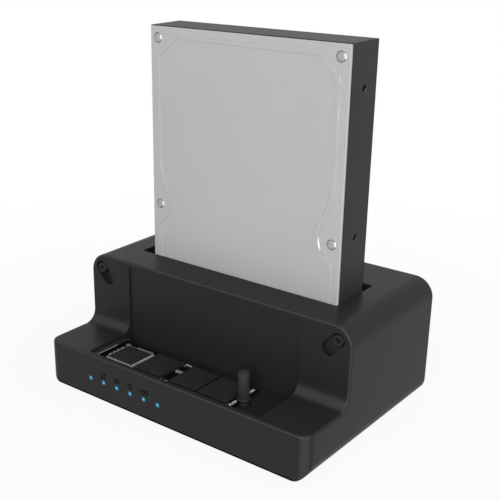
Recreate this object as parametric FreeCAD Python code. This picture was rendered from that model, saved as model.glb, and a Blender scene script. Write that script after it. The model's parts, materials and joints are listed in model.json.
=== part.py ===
import FreeCAD, Part
import math
import os

V = FreeCAD.Vector

# All lengths are in millimetres. While building, X is measured from the middle, Y from the front
# face and Z from the underside of the housing. save() moves each piece into the shared frame:
# origin below the middle of the whole box, Z = 0 where the rubber feet stand.

# Housing
WIDTH = 144.0
DEPTH = 100.0
HEIGHT = 55.9
SHELF_HEIGHT = 20.7
SHELF_DEPTH = 30.3
WALL = 2.2
FRONT_WALL = 2.9
TOP_CORNER_R = 9.0
LOW_CORNER_R = 7.0
FRONT_CORNER_R = 5.7
STEP_FILLET_R = 6.0
RIM_R = 1.2
EDGE_BEVEL = 0.4
FOOT_STAND = 1.5
GAP = 0.3
FIT = 0.1

# Pit for the solid-state drive and the recess above it
PIT_WIDTH = 95.5
PIT_STEP = 1.2
PIT_FLOOR = 15.5
PIT_FLOOR_T = 2.0
PIT_WALL = 2.0
PIT_CORNER_R = 1.0
RECESS_TOP = 2.2
WINDOW_END = 4.75
WINDOW_TOP = 18.4

# Slot for the hard drive
SLOT_SIDE_ROOM = 7.0
SLOT_DEPTH = 29.5
SLOT_SHIFT = 0.3
SLOT_BEHIND = 23.6
SLOT_FLOOR = 14.5
SLOT_WALL = 2.0
SLOT_CORNER_R = 1.5

# Hard drive
DRIVE_W = 101.6
DRIVE_T = 20.2
DRIVE_L = 147.0
DRIVE_SIDE_GAP = 0.25
DRIVE_FRONT_GAP = 0.55
DRIVE_CORNER_R = 0.45
COVER_T = 1.0
COVER_INSET = 0.35
BEAD_W = 3.0
BEAD_TOP_W = 2.3
BEAD_H = 0.3
HUB_R = 17.5
HUB_X = 49.6
HUB_DOWN = 52.0
PIVOT_R = 9.4
PIVOT_X = 59.6
PIVOT_DOWN = 111.3
DISC_H = 0.2
COVER_SCREW_R = 2.1
COVER_SCREW_SEAT = 0.7
COVER_SCREW_IN = 4.6
COVER_SCREW_END = 5.2
COVER_SCREW_ROW = 80.4
COVER_SHANK_L = 4.0
SIDE_HOLE_R = 1.6
SIDE_HOLE_DEPTH = 4.0
SIDE_HOLE_IN = 11.1
SIDE_HOLES_DOWN = (18.2, 79.2, 118.5)
REAR_HOLE_EDGE = 3.2
REAR_HOLES_UP = (41.3, 117.5)
DRIVE_BOARD_T = 1.2
DRIVE_BOARD_TOP = 62.0
DRIVE_BOARD_EDGE = 8.0
DRIVE_RECESS = 3.0
DRIVE_PAD_H = 1.0
DRIVE_PAD_R = 3.0
DRIVE_PAD_IN = 4.8
DRIVE_SCREW_L = 4.4
MOTOR_CAP_R = 14.0
MOTOR_CAP_T = 1.2
MOTOR_DIMPLE_R = 5.8

# 22-pin connector pair
PLUG_FROM_SIDE = 33.4
PLUG_FROM_BACK = 3.5
PLUG_HALF = 22.0
PLUG_H = 12.0
PLUG_CAVITY = 6.2
PLUG_WALL = 0.85
SOCKET_HALF = 20.8
SOCKET_T = 4.6
SOCKET_IN = 5.6
SOCKET_FOOT_HALF = 25.0
SOCKET_FOOT_T = 7.0
SOCKET_FOOT_H = 2.6
TONGUE_T = 1.3
TONGUE_HOOK = 1.1
TONGUE_SHORT = (-19.6, -8.6)
TONGUE_LONG = (-5.6, 19.6)
TONGUE_UP = 0.6

# Solid-state drive, measured from its contact edge and its front edge
SSD_L = 80.0
SSD_W = 22.0
SSD_T = 0.8
SSD_LEFT = -49.4
SSD_FRONT = 4.5
SSD_TOP = 17.5
SSD_NOTCH_R = 1.75
SSD_KEY_AT = 17.1
SSD_KEY_W = 1.2
SSD_KEY_L = 3.5
SSD_TILT = 20.0
CONTROLLER = (8.7, 24.3, 2.0, 17.2)
CONTROLLER_H = 1.5
CONTROLLER_RING = 0.75
MEMORY_AT = (25.2, 45.8, 61.4)
MEMORY_SIZE = (15.3, 17.6)
MEMORY_FRONT = 2.4
MEMORY_H = 1.2
CHIP_EDGE = 0.15
SMALL_PARTS = (
    (41.6, 12.0, 0.7, 1.5), (42.7, 12.0, 0.7, 1.5), (43.8, 12.0, 0.7, 1.5), (44.8, 12.0, 0.7, 1.5),
    (41.0, 19.8, 1.4, 0.7), (42.9, 19.8, 1.4, 0.7), (43.3, 1.9, 1.8, 0.9), (31.0, 0.9, 1.2, 0.6),
    (33.0, 0.9, 1.2, 0.6), (35.4, 0.9, 1.2, 0.6), (37.6, 0.9, 1.2, 0.6), (39.6, 0.9, 1.2, 0.6),
    (13.0, 18.6, 1.6, 0.8), (15.4, 18.6, 1.6, 0.8), (17.8, 18.6, 1.6, 0.8), (20.2, 18.6, 1.6, 0.8),
    (6.6, 5.6, 0.8, 1.6), (6.6, 8.4, 0.8, 1.6), (6.6, 11.2, 0.8, 1.6), (6.6, 14.0, 0.8, 1.6),
    (6.2, 18.0, 1.5, 1.5), (10.4, 0.6, 1.2, 0.6), (13.4, 0.6, 1.2, 0.6), (16.4, 0.6, 1.2, 0.6),
    (78.4, 3.0, 0.8, 1.6), (78.4, 5.6, 0.8, 1.6), (78.4, 16.2, 0.8, 1.6), (78.4, 18.6, 0.8, 1.6),
)
SMALL_PART_H = 0.6

# M.2 socket and the board below it
M2_BOARD_Z = 12.9
M2_BOARD_T = 1.2
M2_BOARD_X = (-57.3, -43.4)
M2_BOARD_Y = (3.9, 28.4)
M2_SOCKET_BACK = -54.6
M2_MOUTH = -45.0
M2_LIP = 2.6
M2_LIP_TOP = 19.2
M2_BACK_TOP = 18.15
M2_HALF = 11.6
M2_SLOT_HALF = 11.25
M2_PIVOT_IN = 2.1
M2_DEEP = 0.4
M2_SLACK = 0.25
POST_R = 2.2
POST_AT = ((-55.0, 6.6), (-55.0, 25.7), (-46.0, 25.7))
LINK_X = (-53.0, -48.2)
LINK_Y = (9.0, 23.0)
LINK_INSET = 0.45

# Rubber plug
PLUG_POST_R = 2.5
PLUG_POST_L = 12.0
PLUG_FLANGE_R = 3.0
PLUG_FLANGE_T = 0.9
PLUG_NECK_R = 1.55
PLUG_NECK_L = 0.9
PLUG_STEM_R = 2.45
PLUG_STEM_L = 3.6
PLUG_BORE_R = 1.0
PLUG_BORE_L = 2.2
PLUG_HOLE_R = 2.8

# Spare plugs in the ears, measured in from the sides and down from the top
SPARE_IN = 6.7
SPARE_DOWN = 6.6
POCKET_IN = 10.7
POCKET_DOWN = 11.0
POCKET_R = 3.3
POCKET_DEPTH = 2.6
SPARE_HOLE_R = 2.8
SPARE_BLOCK_R = 4.4

# Main board and what it carries
BOARD_Z = 5.0
BOARD_T = 1.6
BOARD_HALF = 56.0
BOARD_FRONT = 4.9
BOARD_BACK_GAP = 1.0
BOARD_SCREW_AT = (52.0, 38.0)
BOARD_SCREW_IN = 7.3
BOARD_SCREW_R = 1.0
BOARD_HEAD_R = 2.3
BOARD_HEAD_H = 1.5
BOARD_POST_R = 3.0
CHIPS = ((20.0, 18.0, 10.0, 10.0, 1.1), (-12.0, 18.0, 9.0, 9.0, 1.1), (2.0, 22.0, 5.0, 6.0, 1.4),
         (34.0, 40.0, 6.0, 5.0, 1.4), (-8.0, 38.0, 5.0, 5.0, 1.0), (40.0, 20.0, 3.2, 5.0, 0.9))
COIL_SIZE = (6.6, 6.6, 3.2)
COIL_EDGE = 0.45
COIL_FRONT = (-30.0, 38.0)
COIL_FROM_PLUG = (-8.2, 10.8)
CANS = ((-50.0, 14.3), (-31.0, 13.3), (44.0, 13.3))
CAN_R = 3.1
CAN_H = 5.0
CAN_FOOT_H = 0.6

# Status lights
LIGHT_FIRST = -44.6
LIGHT_PITCH = 8.12
LIGHT_COUNT = 6
LIGHT_Z = 9.2
LIGHT_R = 1.0
LED_SIZE = (2.6, 1.6, 3.0)
LED_EDGE = 0.3

# Rear panel
REAR_Z = 12.8
DC_X = -40.0
DC_BORE_R = 3.15
DC_NOSE_R = 3.8
DC_PIN_R = 1.0
DC_BODY = (9.0, 13.0, 11.0)
DC_BORE_L = 9.0
POWER_X = -21.0
CLONE_X = -3.0
BUTTON_R = 4.0
BUTTON_FLANGE_R = 5.1
BUTTON_FLANGE_T = 1.1
BUTTON_TRAVEL = 1.0
SWITCH = (6.4, 5.0, 6.0)
SWITCH_TIP_R = 1.4
SWITCH_TIP_L = 0.6
SWITCH_EDGE = 0.3
USB_X = 20.0
USB_W = 8.94
USB_H = 3.26
USB_L = 9.4
USB_SKIN = 0.35
USB_TONGUE = 6.7
USB_RECESS = 0.6

# Base plate, feet and case screws
BASE_T = 2.2
BASE_HALF = 64.6
BASE_EDGE = 4.8
BASE_CORNER_R = 4.0
FOOT_R = 6.0
FOOT_AT = (52.0, 17.0)
FOOT_RECESS = 0.5
CASE_SCREW_AT = (60.9, 12.0)
CASE_SCREW_R = 1.45
CASE_SCREW_L = 9.0
CASE_HEAD_R = 2.7
CASE_HEAD_H = 1.3
BOSS_R = 3.2
HEX_SIDES = 6
ROD_SIDES = 8
HEAD_SIDES = 12
ROUND_SIDES = 20
VENT_IN = 14.0
VENT_EDGE = 5.2
VENT_W = 2.0
VENT_PITCH = 6.0
VENT_COUNT = 7
LABEL = (54.0, 12.0, 0.3)

# Values that follow from the ones above
WALL_Y = SHELF_DEPTH + PIT_STEP
SLOT_BACK = DEPTH - SLOT_BEHIND
SLOT_FRONT = SLOT_BACK - SLOT_DEPTH
SLOT_WIDTH = DRIVE_W + SLOT_SIDE_ROOM
SLOT_LEFT = SLOT_SHIFT - SLOT_WIDTH / 2
SLOT_RIGHT = SLOT_SHIFT + SLOT_WIDTH / 2
DRIVE_RIGHT = SLOT_RIGHT - DRIVE_SIDE_GAP
DRIVE_LEFT = DRIVE_RIGHT - DRIVE_W
DRIVE_FRONT = SLOT_FRONT + DRIVE_FRONT_GAP
DRIVE_BACK = DRIVE_FRONT + DRIVE_T
DRIVE_BOTTOM = SLOT_FLOOR + GAP
DRIVE_TOP = DRIVE_BOTTOM + DRIVE_L
PLUG_X = DRIVE_LEFT + PLUG_FROM_SIDE
PLUG_Y = DRIVE_BACK - PLUG_FROM_BACK
BOARD_TOP = BOARD_Z + BOARD_T
SSD_Z = SSD_TOP - SSD_T
SSD_RIGHT = SSD_LEFT + SSD_L
SSD_MID = SSD_FRONT + SSD_W / 2
PIVOT_AT = SSD_LEFT + M2_PIVOT_IN
M2_TOP = M2_BOARD_Z + M2_BOARD_T
BACK_INNER = DEPTH - WALL
BOARD_BACK = BACK_INNER - BOARD_BACK_GAP
SPARE_X = WIDTH / 2 - SPARE_IN
POCKET_X = WIDTH / 2 - POCKET_IN
SIGNS = (-1, 1)


def box(x0, x1, y0, y1, z0, z1):
    return Part.makeBox(x1 - x0, y1 - y0, z1 - z0, V(x0, y0, z0))


def cyl(r, x, y, z, length, axis="z"):
    way = {"x": V(1, 0, 0), "y": V(0, 1, 0), "z": V(0, 0, 1)}[axis]
    return Part.makeCylinder(r, length, V(x, y, z), way)


def rod(r, x, y, z, length, axis="z", sides=ROD_SIDES):
    """Small round rod or bore with flat facets, for what is slim, hidden and repeated."""
    ring = []
    for i in range(sides):
        a = 2 * math.pi * i / sides
        u = r * math.cos(a)
        v = r * math.sin(a)
        ring.append({"x": V(x, y + u, z + v), "y": V(x + u, y, z + v), "z": V(x + u, y + v, z)}[axis])
    way = {"x": V(length, 0, 0), "y": V(0, length, 0), "z": V(0, 0, length)}[axis]
    return Part.Face(Part.makePolygon(ring + ring[:1])).extrude(way)


def joined(shapes):
    shapes = list(shapes)
    if len(shapes) == 1:
        return shapes[0]
    return shapes[0].fuse(shapes[1:]).removeSplitter()


def apart(shapes):
    return Part.makeCompound(list(shapes))


def edges_where(shape, test):
    return [e for e in shape.Edges if test(e.BoundBox)]


def prism_y(points, y0, y1):
    """Prism along Y over points given as (x, z)."""
    ring = [V(x, y0, z) for x, z in points]
    wire = Part.makePolygon(ring + ring[:1])
    return Part.Face(wire).extrude(V(0, y1 - y0, 0))


def plate(x0, x1, y0, y1, z0, z1, radius):
    """Flat plate with rounded upright corners."""
    body = box(x0, x1, y0, y1, z0, z1)
    upright = [e for e in body.Edges if e.BoundBox.ZLength > (z1 - z0) / 2]
    return body.makeFillet(radius, upright)


def obround_y(xa, za, xb, zb, radius, y0, y1):
    """Rounded slot along Y from one end centre to the other."""
    ends = [cyl(radius, x, y0, z, y1 - y0, "y") for x, z in ((xa, za), (xb, zb))]
    length = math.hypot(xb - xa, zb - za)
    nx = -(zb - za) / length * radius
    nz = (xb - xa) / length * radius
    corners = [(xa + nx, za + nz), (xb + nx, zb + nz), (xb - nx, zb - nz), (xa - nx, za - nz)]
    return joined(ends + [prism_y(corners, y0, y1)])


def obround_hole_y(x, z, width, height, y0, y1):
    half = (width - height) / 2
    return obround_y(x - half, z, x + half, z, height / 2, y0, y1)


# Outer form of the housing


def section_wire(half, low, top, low_r, top_r, y):
    """Front view outline: upright sides between rounded lower and upper corners."""
    s = math.sqrt(0.5)
    corners = ((-1, top - top_r, top_r, 1), (1, top - top_r, top_r, 1),
               (1, low + low_r, low_r, -1), (-1, low + low_r, low_r, -1))
    arcs = []
    for side, z, r, up in corners:
        x = side * (half - r)
        middle = V(x + side * r * s, y, z + up * r * s)
        arcs.append(Part.Arc(V(x + side * r, y, z), middle, V(x, y, z + up * r)))
    ends = [((-half, top - top_r), (-half, low + low_r)), ((-half + top_r, top), (half - top_r, top)),
            ((half, top - top_r), (half, low + low_r)), ((half - low_r, low), (-half + low_r, low))]
    lines = [Part.makeLine(V(a, y, b), V(c, y, d)) for (a, b), (c, d) in ends]
    return Part.Wire(Part.__sortEdges__([arc.toShape() for arc in arcs] + lines))


def step_form():
    """Side view outline: low shelf, hollow fillet, tall block."""
    x = -WIDTH / 2
    r = STEP_FILLET_R
    s = r * (1 - math.sqrt(0.5))
    ya = SHELF_DEPTH - r
    za = SHELF_HEIGHT + r
    bend = Part.Arc(V(x, ya, SHELF_HEIGHT), V(x, SHELF_DEPTH - s, SHELF_HEIGHT + s), V(x, SHELF_DEPTH, za))
    lines = [
        Part.makeLine(V(x, 0, 0), V(x, 0, SHELF_HEIGHT)),
        Part.makeLine(V(x, 0, SHELF_HEIGHT), V(x, ya, SHELF_HEIGHT)),
        bend.toShape(),
        Part.makeLine(V(x, SHELF_DEPTH, za), V(x, SHELF_DEPTH, HEIGHT)),
        Part.makeLine(V(x, SHELF_DEPTH, HEIGHT), V(x, DEPTH, HEIGHT)),
        Part.makeLine(V(x, DEPTH, HEIGHT), V(x, DEPTH, 0)),
        Part.makeLine(V(x, DEPTH, 0), V(x, 0, 0)),
    ]
    return Part.Face(Part.Wire(lines)).extrude(V(WIDTH, 0, 0))


def front_rounded(half, y0, y1, z0, z1, radius):
    body = box(-half, half, y0, y1, z0, z1)
    front = [e for e in body.Edges
             if e.BoundBox.ZLength > (z1 - z0) / 2 and e.BoundBox.YMax < (y0 + y1) / 2]
    return body.makeFillet(radius, front)


def outer_form():
    outline = section_wire(WIDTH / 2, 0, HEIGHT, LOW_CORNER_R, TOP_CORNER_R, 0)
    section = Part.Face(outline).extrude(V(0, DEPTH, 0))
    plan = front_rounded(WIDTH / 2, 0, DEPTH, 0, HEIGHT, FRONT_CORNER_R)
    body = section.common(step_form()).common(plan).removeSplitter()
    tiny = FIT / 2

    def on_rim(b):
        side = abs(abs(b.Center.x) - WIDTH / 2) < tiny and b.XLength < tiny
        low = abs(b.ZMin - SHELF_HEIGHT) < tiny and b.ZLength < tiny
        if low and (b.YMax < FRONT_CORNER_R + tiny or side):
            return True
        if side and b.ZMin > SHELF_HEIGHT - tiny and b.YMax < SHELF_DEPTH + tiny:
            return b.YLength > tiny or abs(b.YMax - SHELF_DEPTH) < tiny
        wall = b.YLength < tiny and abs(b.YMin - SHELF_DEPTH) < tiny
        return wall and b.ZMin > HEIGHT - TOP_CORNER_R - tiny

    body = body.makeFillet(RIM_R, edges_where(body, on_rim))

    def on_back(b):
        return b.YLength < tiny and abs(b.YMin - DEPTH) < tiny

    return body.makeChamfer(EDGE_BEVEL, edges_where(body, on_back))


# Inside of the housing


def screw_places():
    """Corner places of the case screws, mirrored front to back and left to right."""
    x, y = CASE_SCREW_AT
    return [(sx * x, py) for sx in SIGNS for py in (y, DEPTH - y)]


def cornered(half, top, low_cut, top_cut, y0, y1):
    """Prism along Y with its corners cut flat, on the inside of rounded walls."""
    cuts = [(-1, WALL, low_cut, 1), (1, WALL, low_cut, 1), (1, top, top_cut, -1), (-1, top, top_cut, -1)]
    points = []
    for side, z, cut, up in cuts:
        pair = [(side * (half - cut), z), (side * half, z + up * cut)]
        points += pair if side * up > 0 else pair[::-1]
    return prism_y(points, y0, y1)


def housing_hollow():
    half = WIDTH / 2 - WALL
    low_r = LOW_CORNER_R - WALL
    tall = cornered(half, HEIGHT - WALL, low_r, TOP_CORNER_R - WALL, WALL_Y + WALL, BACK_INNER)
    shelf_top = SHELF_HEIGHT - WALL
    low = front_rounded(half, FRONT_WALL, WALL_Y + WALL + WALL, 0, shelf_top, FRONT_CORNER_R - WALL)
    low = low.common(cornered(half, HEIGHT, low_r, low_r, 0, DEPTH))
    room = joined([tall, low])
    rim = box(-WIDTH, WIDTH, -DEPTH, DEPTH * 2, -BASE_T, BASE_T)
    room = room.cut(rim)
    pit = box(-PIT_WIDTH / 2 - PIT_WALL, PIT_WIDTH / 2 + PIT_WALL, 0, WALL_Y + WALL,
              PIT_FLOOR - PIT_FLOOR_T, HEIGHT)
    well = box(SLOT_LEFT - SLOT_WALL, SLOT_RIGHT + SLOT_WALL, SLOT_FRONT - SLOT_WALL,
               SLOT_BACK + SLOT_WALL, SLOT_FLOOR - SLOT_WALL, HEIGHT)
    kept = [pit, well]
    for x, y in screw_places():
        kept.append(rod(BOSS_R, x, y, BASE_T, HEIGHT))
        out = x / abs(x) * WIDTH / 2
        kept.append(box(min(x, out), max(x, out), y - WALL / 3, y + WALL / 3, BASE_T + BASE_T, HEIGHT))
    for side in SIGNS:
        out = side * WIDTH / 2
        spare = side * SPARE_X - side * SPARE_BLOCK_R
        pocket = side * POCKET_X - side * SPARE_BLOCK_R
        kept.append(box(min(spare, out), max(spare, out), SHELF_DEPTH, SHELF_DEPTH + plug_length() + WALL,
                        HEIGHT - SPARE_DOWN - SPARE_BLOCK_R, HEIGHT))
        kept.append(box(min(pocket, out), max(pocket, out), SHELF_DEPTH, SHELF_DEPTH + POCKET_DEPTH + WALL,
                        HEIGHT - POCKET_DOWN - SPARE_BLOCK_R, HEIGHT))
    return room.cut(kept)


def base_opening():
    return plate(-BASE_HALF - GAP, BASE_HALF + GAP, BASE_EDGE - GAP, DEPTH - BASE_EDGE + GAP,
                 -BASE_T, BASE_T, BASE_CORNER_R + GAP)


def pit_cut():
    half = PIT_WIDTH / 2
    pit = plate(-half, half, FRONT_WALL, WALL_Y, PIT_FLOOR, HEIGHT - RECESS_TOP, PIT_CORNER_R)
    window = box(-half - PIT_WALL - WALL, -half + WINDOW_END, M2_BOARD_Y[0] - GAP, M2_BOARD_Y[1] + GAP,
                 BASE_T, WINDOW_TOP)
    hole = cyl(PLUG_HOLE_R, SSD_RIGHT, SSD_MID, BOARD_TOP + WALL, PIT_FLOOR)
    return [pit, window, hole]


def slot_cut():
    slot = plate(SLOT_LEFT, SLOT_RIGHT, SLOT_FRONT, SLOT_BACK, SLOT_FLOOR, HEIGHT + WALL, SLOT_CORNER_R)
    below = box(PLUG_X - SOCKET_HALF - GAP - GAP, PLUG_X + SOCKET_HALF + GAP + GAP,
                PLUG_Y - SOCKET_T / 2 - GAP - GAP, PLUG_Y + SOCKET_T / 2 + GAP + GAP, 0, HEIGHT)
    return [slot, below]


def spare_cuts():
    cuts = []
    flange_y = SHELF_DEPTH + PLUG_STEM_L + PLUG_NECK_L + PLUG_FLANGE_T
    for side in SIGNS:
        x = side * SPARE_X
        z = HEIGHT - SPARE_DOWN
        cuts.append(obround_y(x, z, side * POCKET_X, HEIGHT - POCKET_DOWN, POCKET_R,
                              SHELF_DEPTH - WALL, SHELF_DEPTH + POCKET_DEPTH))
        cuts.append(cyl(POCKET_R, x, SHELF_DEPTH - WALL, z, flange_y - SHELF_DEPTH + WALL, "y"))
        cuts.append(rod(SPARE_HOLE_R, x, SHELF_DEPTH, z, plug_length() + GAP, "y", ROUND_SIDES))
    return cuts


def light_places():
    return [LIGHT_FIRST + LIGHT_PITCH * i for i in range(LIGHT_COUNT)]


def rear_cuts():
    back = BACK_INNER - WALL
    cuts = [rod(DC_NOSE_R + GAP, DC_X, back, REAR_Z, DEPTH, "y", ROUND_SIDES)]
    cuts += [rod(BUTTON_R + GAP, x, back, REAR_Z, DEPTH, "y", ROUND_SIDES) for x in (POWER_X, CLONE_X)]
    z = usb_z()
    cuts.append(obround_hole_y(USB_X, z, USB_W + GAP + GAP, USB_H + GAP + GAP, back, DEPTH + WALL))
    cuts.append(obround_hole_y(USB_X, z, USB_W + WALL, USB_H + WALL, DEPTH - USB_RECESS, DEPTH + WALL))
    return cuts


def housing_shell():
    shell = outer_form().cut(housing_hollow())
    cuts = [base_opening()] + pit_cut() + slot_cut() + spare_cuts() + rear_cuts()
    deep = FRONT_WALL + WALL + WALL
    cuts += [rod(LIGHT_R + FIT, x, -WALL, LIGHT_Z, deep, "y", HEAD_SIDES) for x in light_places()]
    deep = CASE_SCREW_L + CASE_HEAD_H + GAP
    cuts += [rod(CASE_SCREW_R + FIT, x, y, 0, deep) for x, y in screw_places()]
    shell = shell.cut(cuts)
    return shell.removeSplitter()


def plug_length():
    return PLUG_STEM_L + PLUG_NECK_L + PLUG_FLANGE_T + PLUG_POST_L


# Base plate, feet and screws


def foot_places():
    x, y = FOOT_AT
    return [(sx * x, py) for sx in SIGNS for py in (y, DEPTH - y)]


def base_plate():
    base = plate(-BASE_HALF, BASE_HALF, BASE_EDGE, DEPTH - BASE_EDGE, 0, BASE_T, BASE_CORNER_R)
    posts = [rod(BOARD_POST_R, x, y, BASE_T - FIT, BOARD_Z - BASE_T + FIT) for x, y in board_screw_places()]
    base = joined([base] + posts)
    deep = BASE_T + FOOT_RECESS
    cuts = [rod(FOOT_R + GAP, x, y, -BASE_T, deep, "z", ROUND_SIDES) for x, y in foot_places()]
    for x, y in screw_places():
        cuts.append(rod(CASE_HEAD_R + GAP, x, y, -BASE_T, BASE_T + CASE_HEAD_H, "z", HEAD_SIDES))
        cuts.append(rod(CASE_SCREW_R + GAP, x, y, 0, BASE_T + BASE_T))
    cuts += [rod(BOARD_SCREW_R + FIT, x, y, BASE_T / 2, BOARD_Z) for x, y in board_screw_places()]
    cuts += vents()
    middle = DEPTH / 2
    w, h, deep = LABEL
    cuts.append(plate(-w / 2, w / 2, middle - h / 2, middle + h / 2, -BASE_T, deep, WALL))
    return base.cut(cuts).removeSplitter()


def vents():
    """Two mirrored rows of slots, before and behind the label's recess."""
    edge = BASE_EDGE + VENT_EDGE
    rows = ((edge, DEPTH / 2 - VENT_IN), (DEPTH / 2 + VENT_IN, DEPTH - edge))
    middles = [(i - (VENT_COUNT - 1) / 2) * VENT_PITCH for i in range(VENT_COUNT)]
    half = VENT_W / 2
    return [box(x - half, x + half, y0, y1, -BASE_T, BASE_T + BASE_T) for y0, y1 in rows for x in middles]


def foot(x, y):
    return rod(FOOT_R, x, y, -FOOT_STAND, FOOT_STAND + FOOT_RECESS, "z", ROUND_SIDES)


def case_screw(x, y):
    head = rod(CASE_HEAD_R, x, y, FIT, CASE_HEAD_H - FIT, "z", HEAD_SIDES)
    return joined([head, rod(CASE_SCREW_R, x, y, CASE_HEAD_H, CASE_SCREW_L)])


def board_screw_places():
    x, y = BOARD_SCREW_AT
    return [(sx * x, py) for py in (y, BOARD_BACK - BOARD_SCREW_IN) for sx in SIGNS]


def board_screw(x, y):
    low = BASE_T / 2 + FIT
    head = rod(BOARD_HEAD_R, x, y, BOARD_TOP, BOARD_HEAD_H, "z", HEAD_SIDES)
    return joined([head, rod(BOARD_SCREW_R, x, y, low, BOARD_TOP - low)])


# Boards and what they carry


def main_board():
    board = box(-BOARD_HALF, BOARD_HALF, BOARD_FRONT, BOARD_BACK, BOARD_Z, BOARD_TOP)
    holes = [rod(BOARD_SCREW_R + GAP, x, y, 0, HEIGHT) for x, y in board_screw_places()]
    return board.cut(holes)


def block_on(x, y, w, d, h, z=BOARD_TOP, edge=CHIP_EDGE):
    body = box(x - w / 2, x + w / 2, y - d / 2, y + d / 2, z, z + h)
    return body.makeChamfer(edge, edges_where(body, lambda b: b.ZMin > z + h / 2))


def coil_places():
    return [COIL_FRONT, (PLUG_X + COIL_FROM_PLUG[0], PLUG_Y + COIL_FROM_PLUG[1])]


def capacitor(x, back):
    y = BOARD_BACK - back
    foot_block = box(x - CAN_R, x + CAN_R, y - CAN_R, y + CAN_R, BOARD_TOP, BOARD_TOP + CAN_FOOT_H)
    can = rod(CAN_R - FIT, x, y, BOARD_TOP + CAN_FOOT_H, CAN_H, "z", ROUND_SIDES)
    return joined([foot_block, can])


def m2_board():
    return box(M2_BOARD_X[0], M2_BOARD_X[1], M2_BOARD_Y[0], M2_BOARD_Y[1], M2_BOARD_Z, M2_TOP)


def spacer_post(x, y):
    return rod(POST_R, x, y, BOARD_TOP, M2_BOARD_Z - BOARD_TOP, "z", HEX_SIDES)


def board_link():
    mid = (BOARD_TOP + M2_BOARD_Z) / 2
    low = box(LINK_X[0], LINK_X[1], LINK_Y[0], LINK_Y[1], BOARD_TOP, mid)
    high = box(LINK_X[0] + LINK_INSET, LINK_X[1] - LINK_INSET, LINK_Y[0] + LINK_INSET,
               LINK_Y[1] - LINK_INSET, mid, M2_BOARD_Z)
    return joined([low, high])


def m2_socket():
    y0 = SSD_MID - M2_HALF
    y1 = SSD_MID + M2_HALF
    rise = math.tan(math.radians(SSD_TILT))
    low = box(M2_SOCKET_BACK, M2_MOUTH, y0, y1, M2_TOP, M2_BACK_TOP)
    lip = box(M2_MOUTH - M2_LIP, M2_MOUTH, y0, y1, M2_TOP, M2_LIP_TOP)
    body = joined([low, lip])
    deep = SSD_LEFT - M2_DEEP
    floor = SSD_Z - M2_SLACK
    roof = SSD_TOP + M2_SLACK - FIT
    mouth_roof = roof + (M2_MOUTH - PIVOT_AT) * rise + FIT
    points = [
        (deep, floor - (PIVOT_AT - deep) * rise),
        (PIVOT_AT, floor),
        (M2_MOUTH + WALL, floor),
        (M2_MOUTH + WALL, mouth_roof + WALL * rise),
        (PIVOT_AT, roof),
        (deep, roof),
    ]
    slot = prism_y(points, SSD_MID - M2_SLOT_HALF, SSD_MID + M2_SLOT_HALF)
    key_y = SSD_FRONT + SSD_KEY_AT
    rib_half = SSD_KEY_W / 2 - M2_SLACK
    rib = box(deep - FIT, SSD_LEFT + SSD_KEY_L - M2_PIVOT_IN, key_y - rib_half, key_y + rib_half,
              M2_TOP, SSD_TOP + M2_SLACK)
    return body.cut(slot.cut(rib)).removeSplitter()


def sata_socket():
    top = DRIVE_BOTTOM + SOCKET_IN
    body = box(PLUG_X - SOCKET_HALF, PLUG_X + SOCKET_HALF, PLUG_Y - SOCKET_T / 2, PLUG_Y + SOCKET_T / 2,
               BOARD_TOP, top)
    foot_body = box(PLUG_X - SOCKET_FOOT_HALF, PLUG_X + SOCKET_FOOT_HALF, PLUG_Y - SOCKET_FOOT_T / 2,
                    PLUG_Y + SOCKET_FOOT_T / 2, BOARD_TOP, BOARD_TOP + SOCKET_FOOT_H)
    body = joined([body, foot_body])
    cuts = [tongue(span, GAP, DRIVE_BOTTOM + TONGUE_UP - GAP - GAP, top + WALL)
            for span in (TONGUE_SHORT, TONGUE_LONG)]
    return body.cut(cuts)


def tongue(span, grow, z0, z1):
    """One L-shaped contact tongue, grown all round for its slot."""
    a, b = span
    x0 = PLUG_X + a - grow
    x1 = PLUG_X + b + grow
    y0 = PLUG_Y - TONGUE_T / 2 - grow
    y1 = PLUG_Y + TONGUE_T / 2 + grow
    bar = box(x0, x1, y0, y1, z0, z1)
    hook = box(x1 - TONGUE_HOOK - grow - grow, x1, y0, y1 + TONGUE_HOOK / 2, z0, z1)
    return joined([bar, hook])


def light_pipe(x):
    return rod(LIGHT_R, x, FIT / 2, LIGHT_Z, BOARD_FRONT - FIT / 2, "y", HEAD_SIDES)


def status_led(x):
    w, d, h = LED_SIZE
    y = BOARD_FRONT + GAP
    body = box(x - w / 2, x + w / 2, y, y + d, BOARD_TOP, BOARD_TOP + h)
    return body.makeChamfer(LED_EDGE, edges_where(body, lambda b: b.ZMin > BOARD_TOP + h / 2))


def dc_socket():
    w, d, h = DC_BODY
    y1 = BACK_INNER - GAP
    body = box(DC_X - w / 2, DC_X + w / 2, y1 - d, y1, BOARD_TOP, BOARD_TOP + h)
    high = BOARD_TOP + h / 2
    body = body.makeChamfer(PIT_CORNER_R, edges_where(body, lambda b: b.ZMin > high and b.YLength > d / 2))
    nose = rod(DC_NOSE_R, DC_X, y1 - WALL, REAR_Z, DEPTH - GAP - y1 + WALL, "y", ROUND_SIDES)
    bore = rod(DC_BORE_R, DC_X, DEPTH - GAP - DC_BORE_L, REAR_Z, DC_BORE_L + WALL, "y", ROUND_SIDES)
    pin = rod(DC_PIN_R, DC_X, DEPTH - GAP - DC_BORE_L - FIT, REAR_Z, DC_BORE_L - PIT_CORNER_R, "y")
    return joined([joined([body, nose]).cut(bore), pin])


def usb_z():
    return BOARD_TOP + USB_H / 2 + FIT


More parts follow.
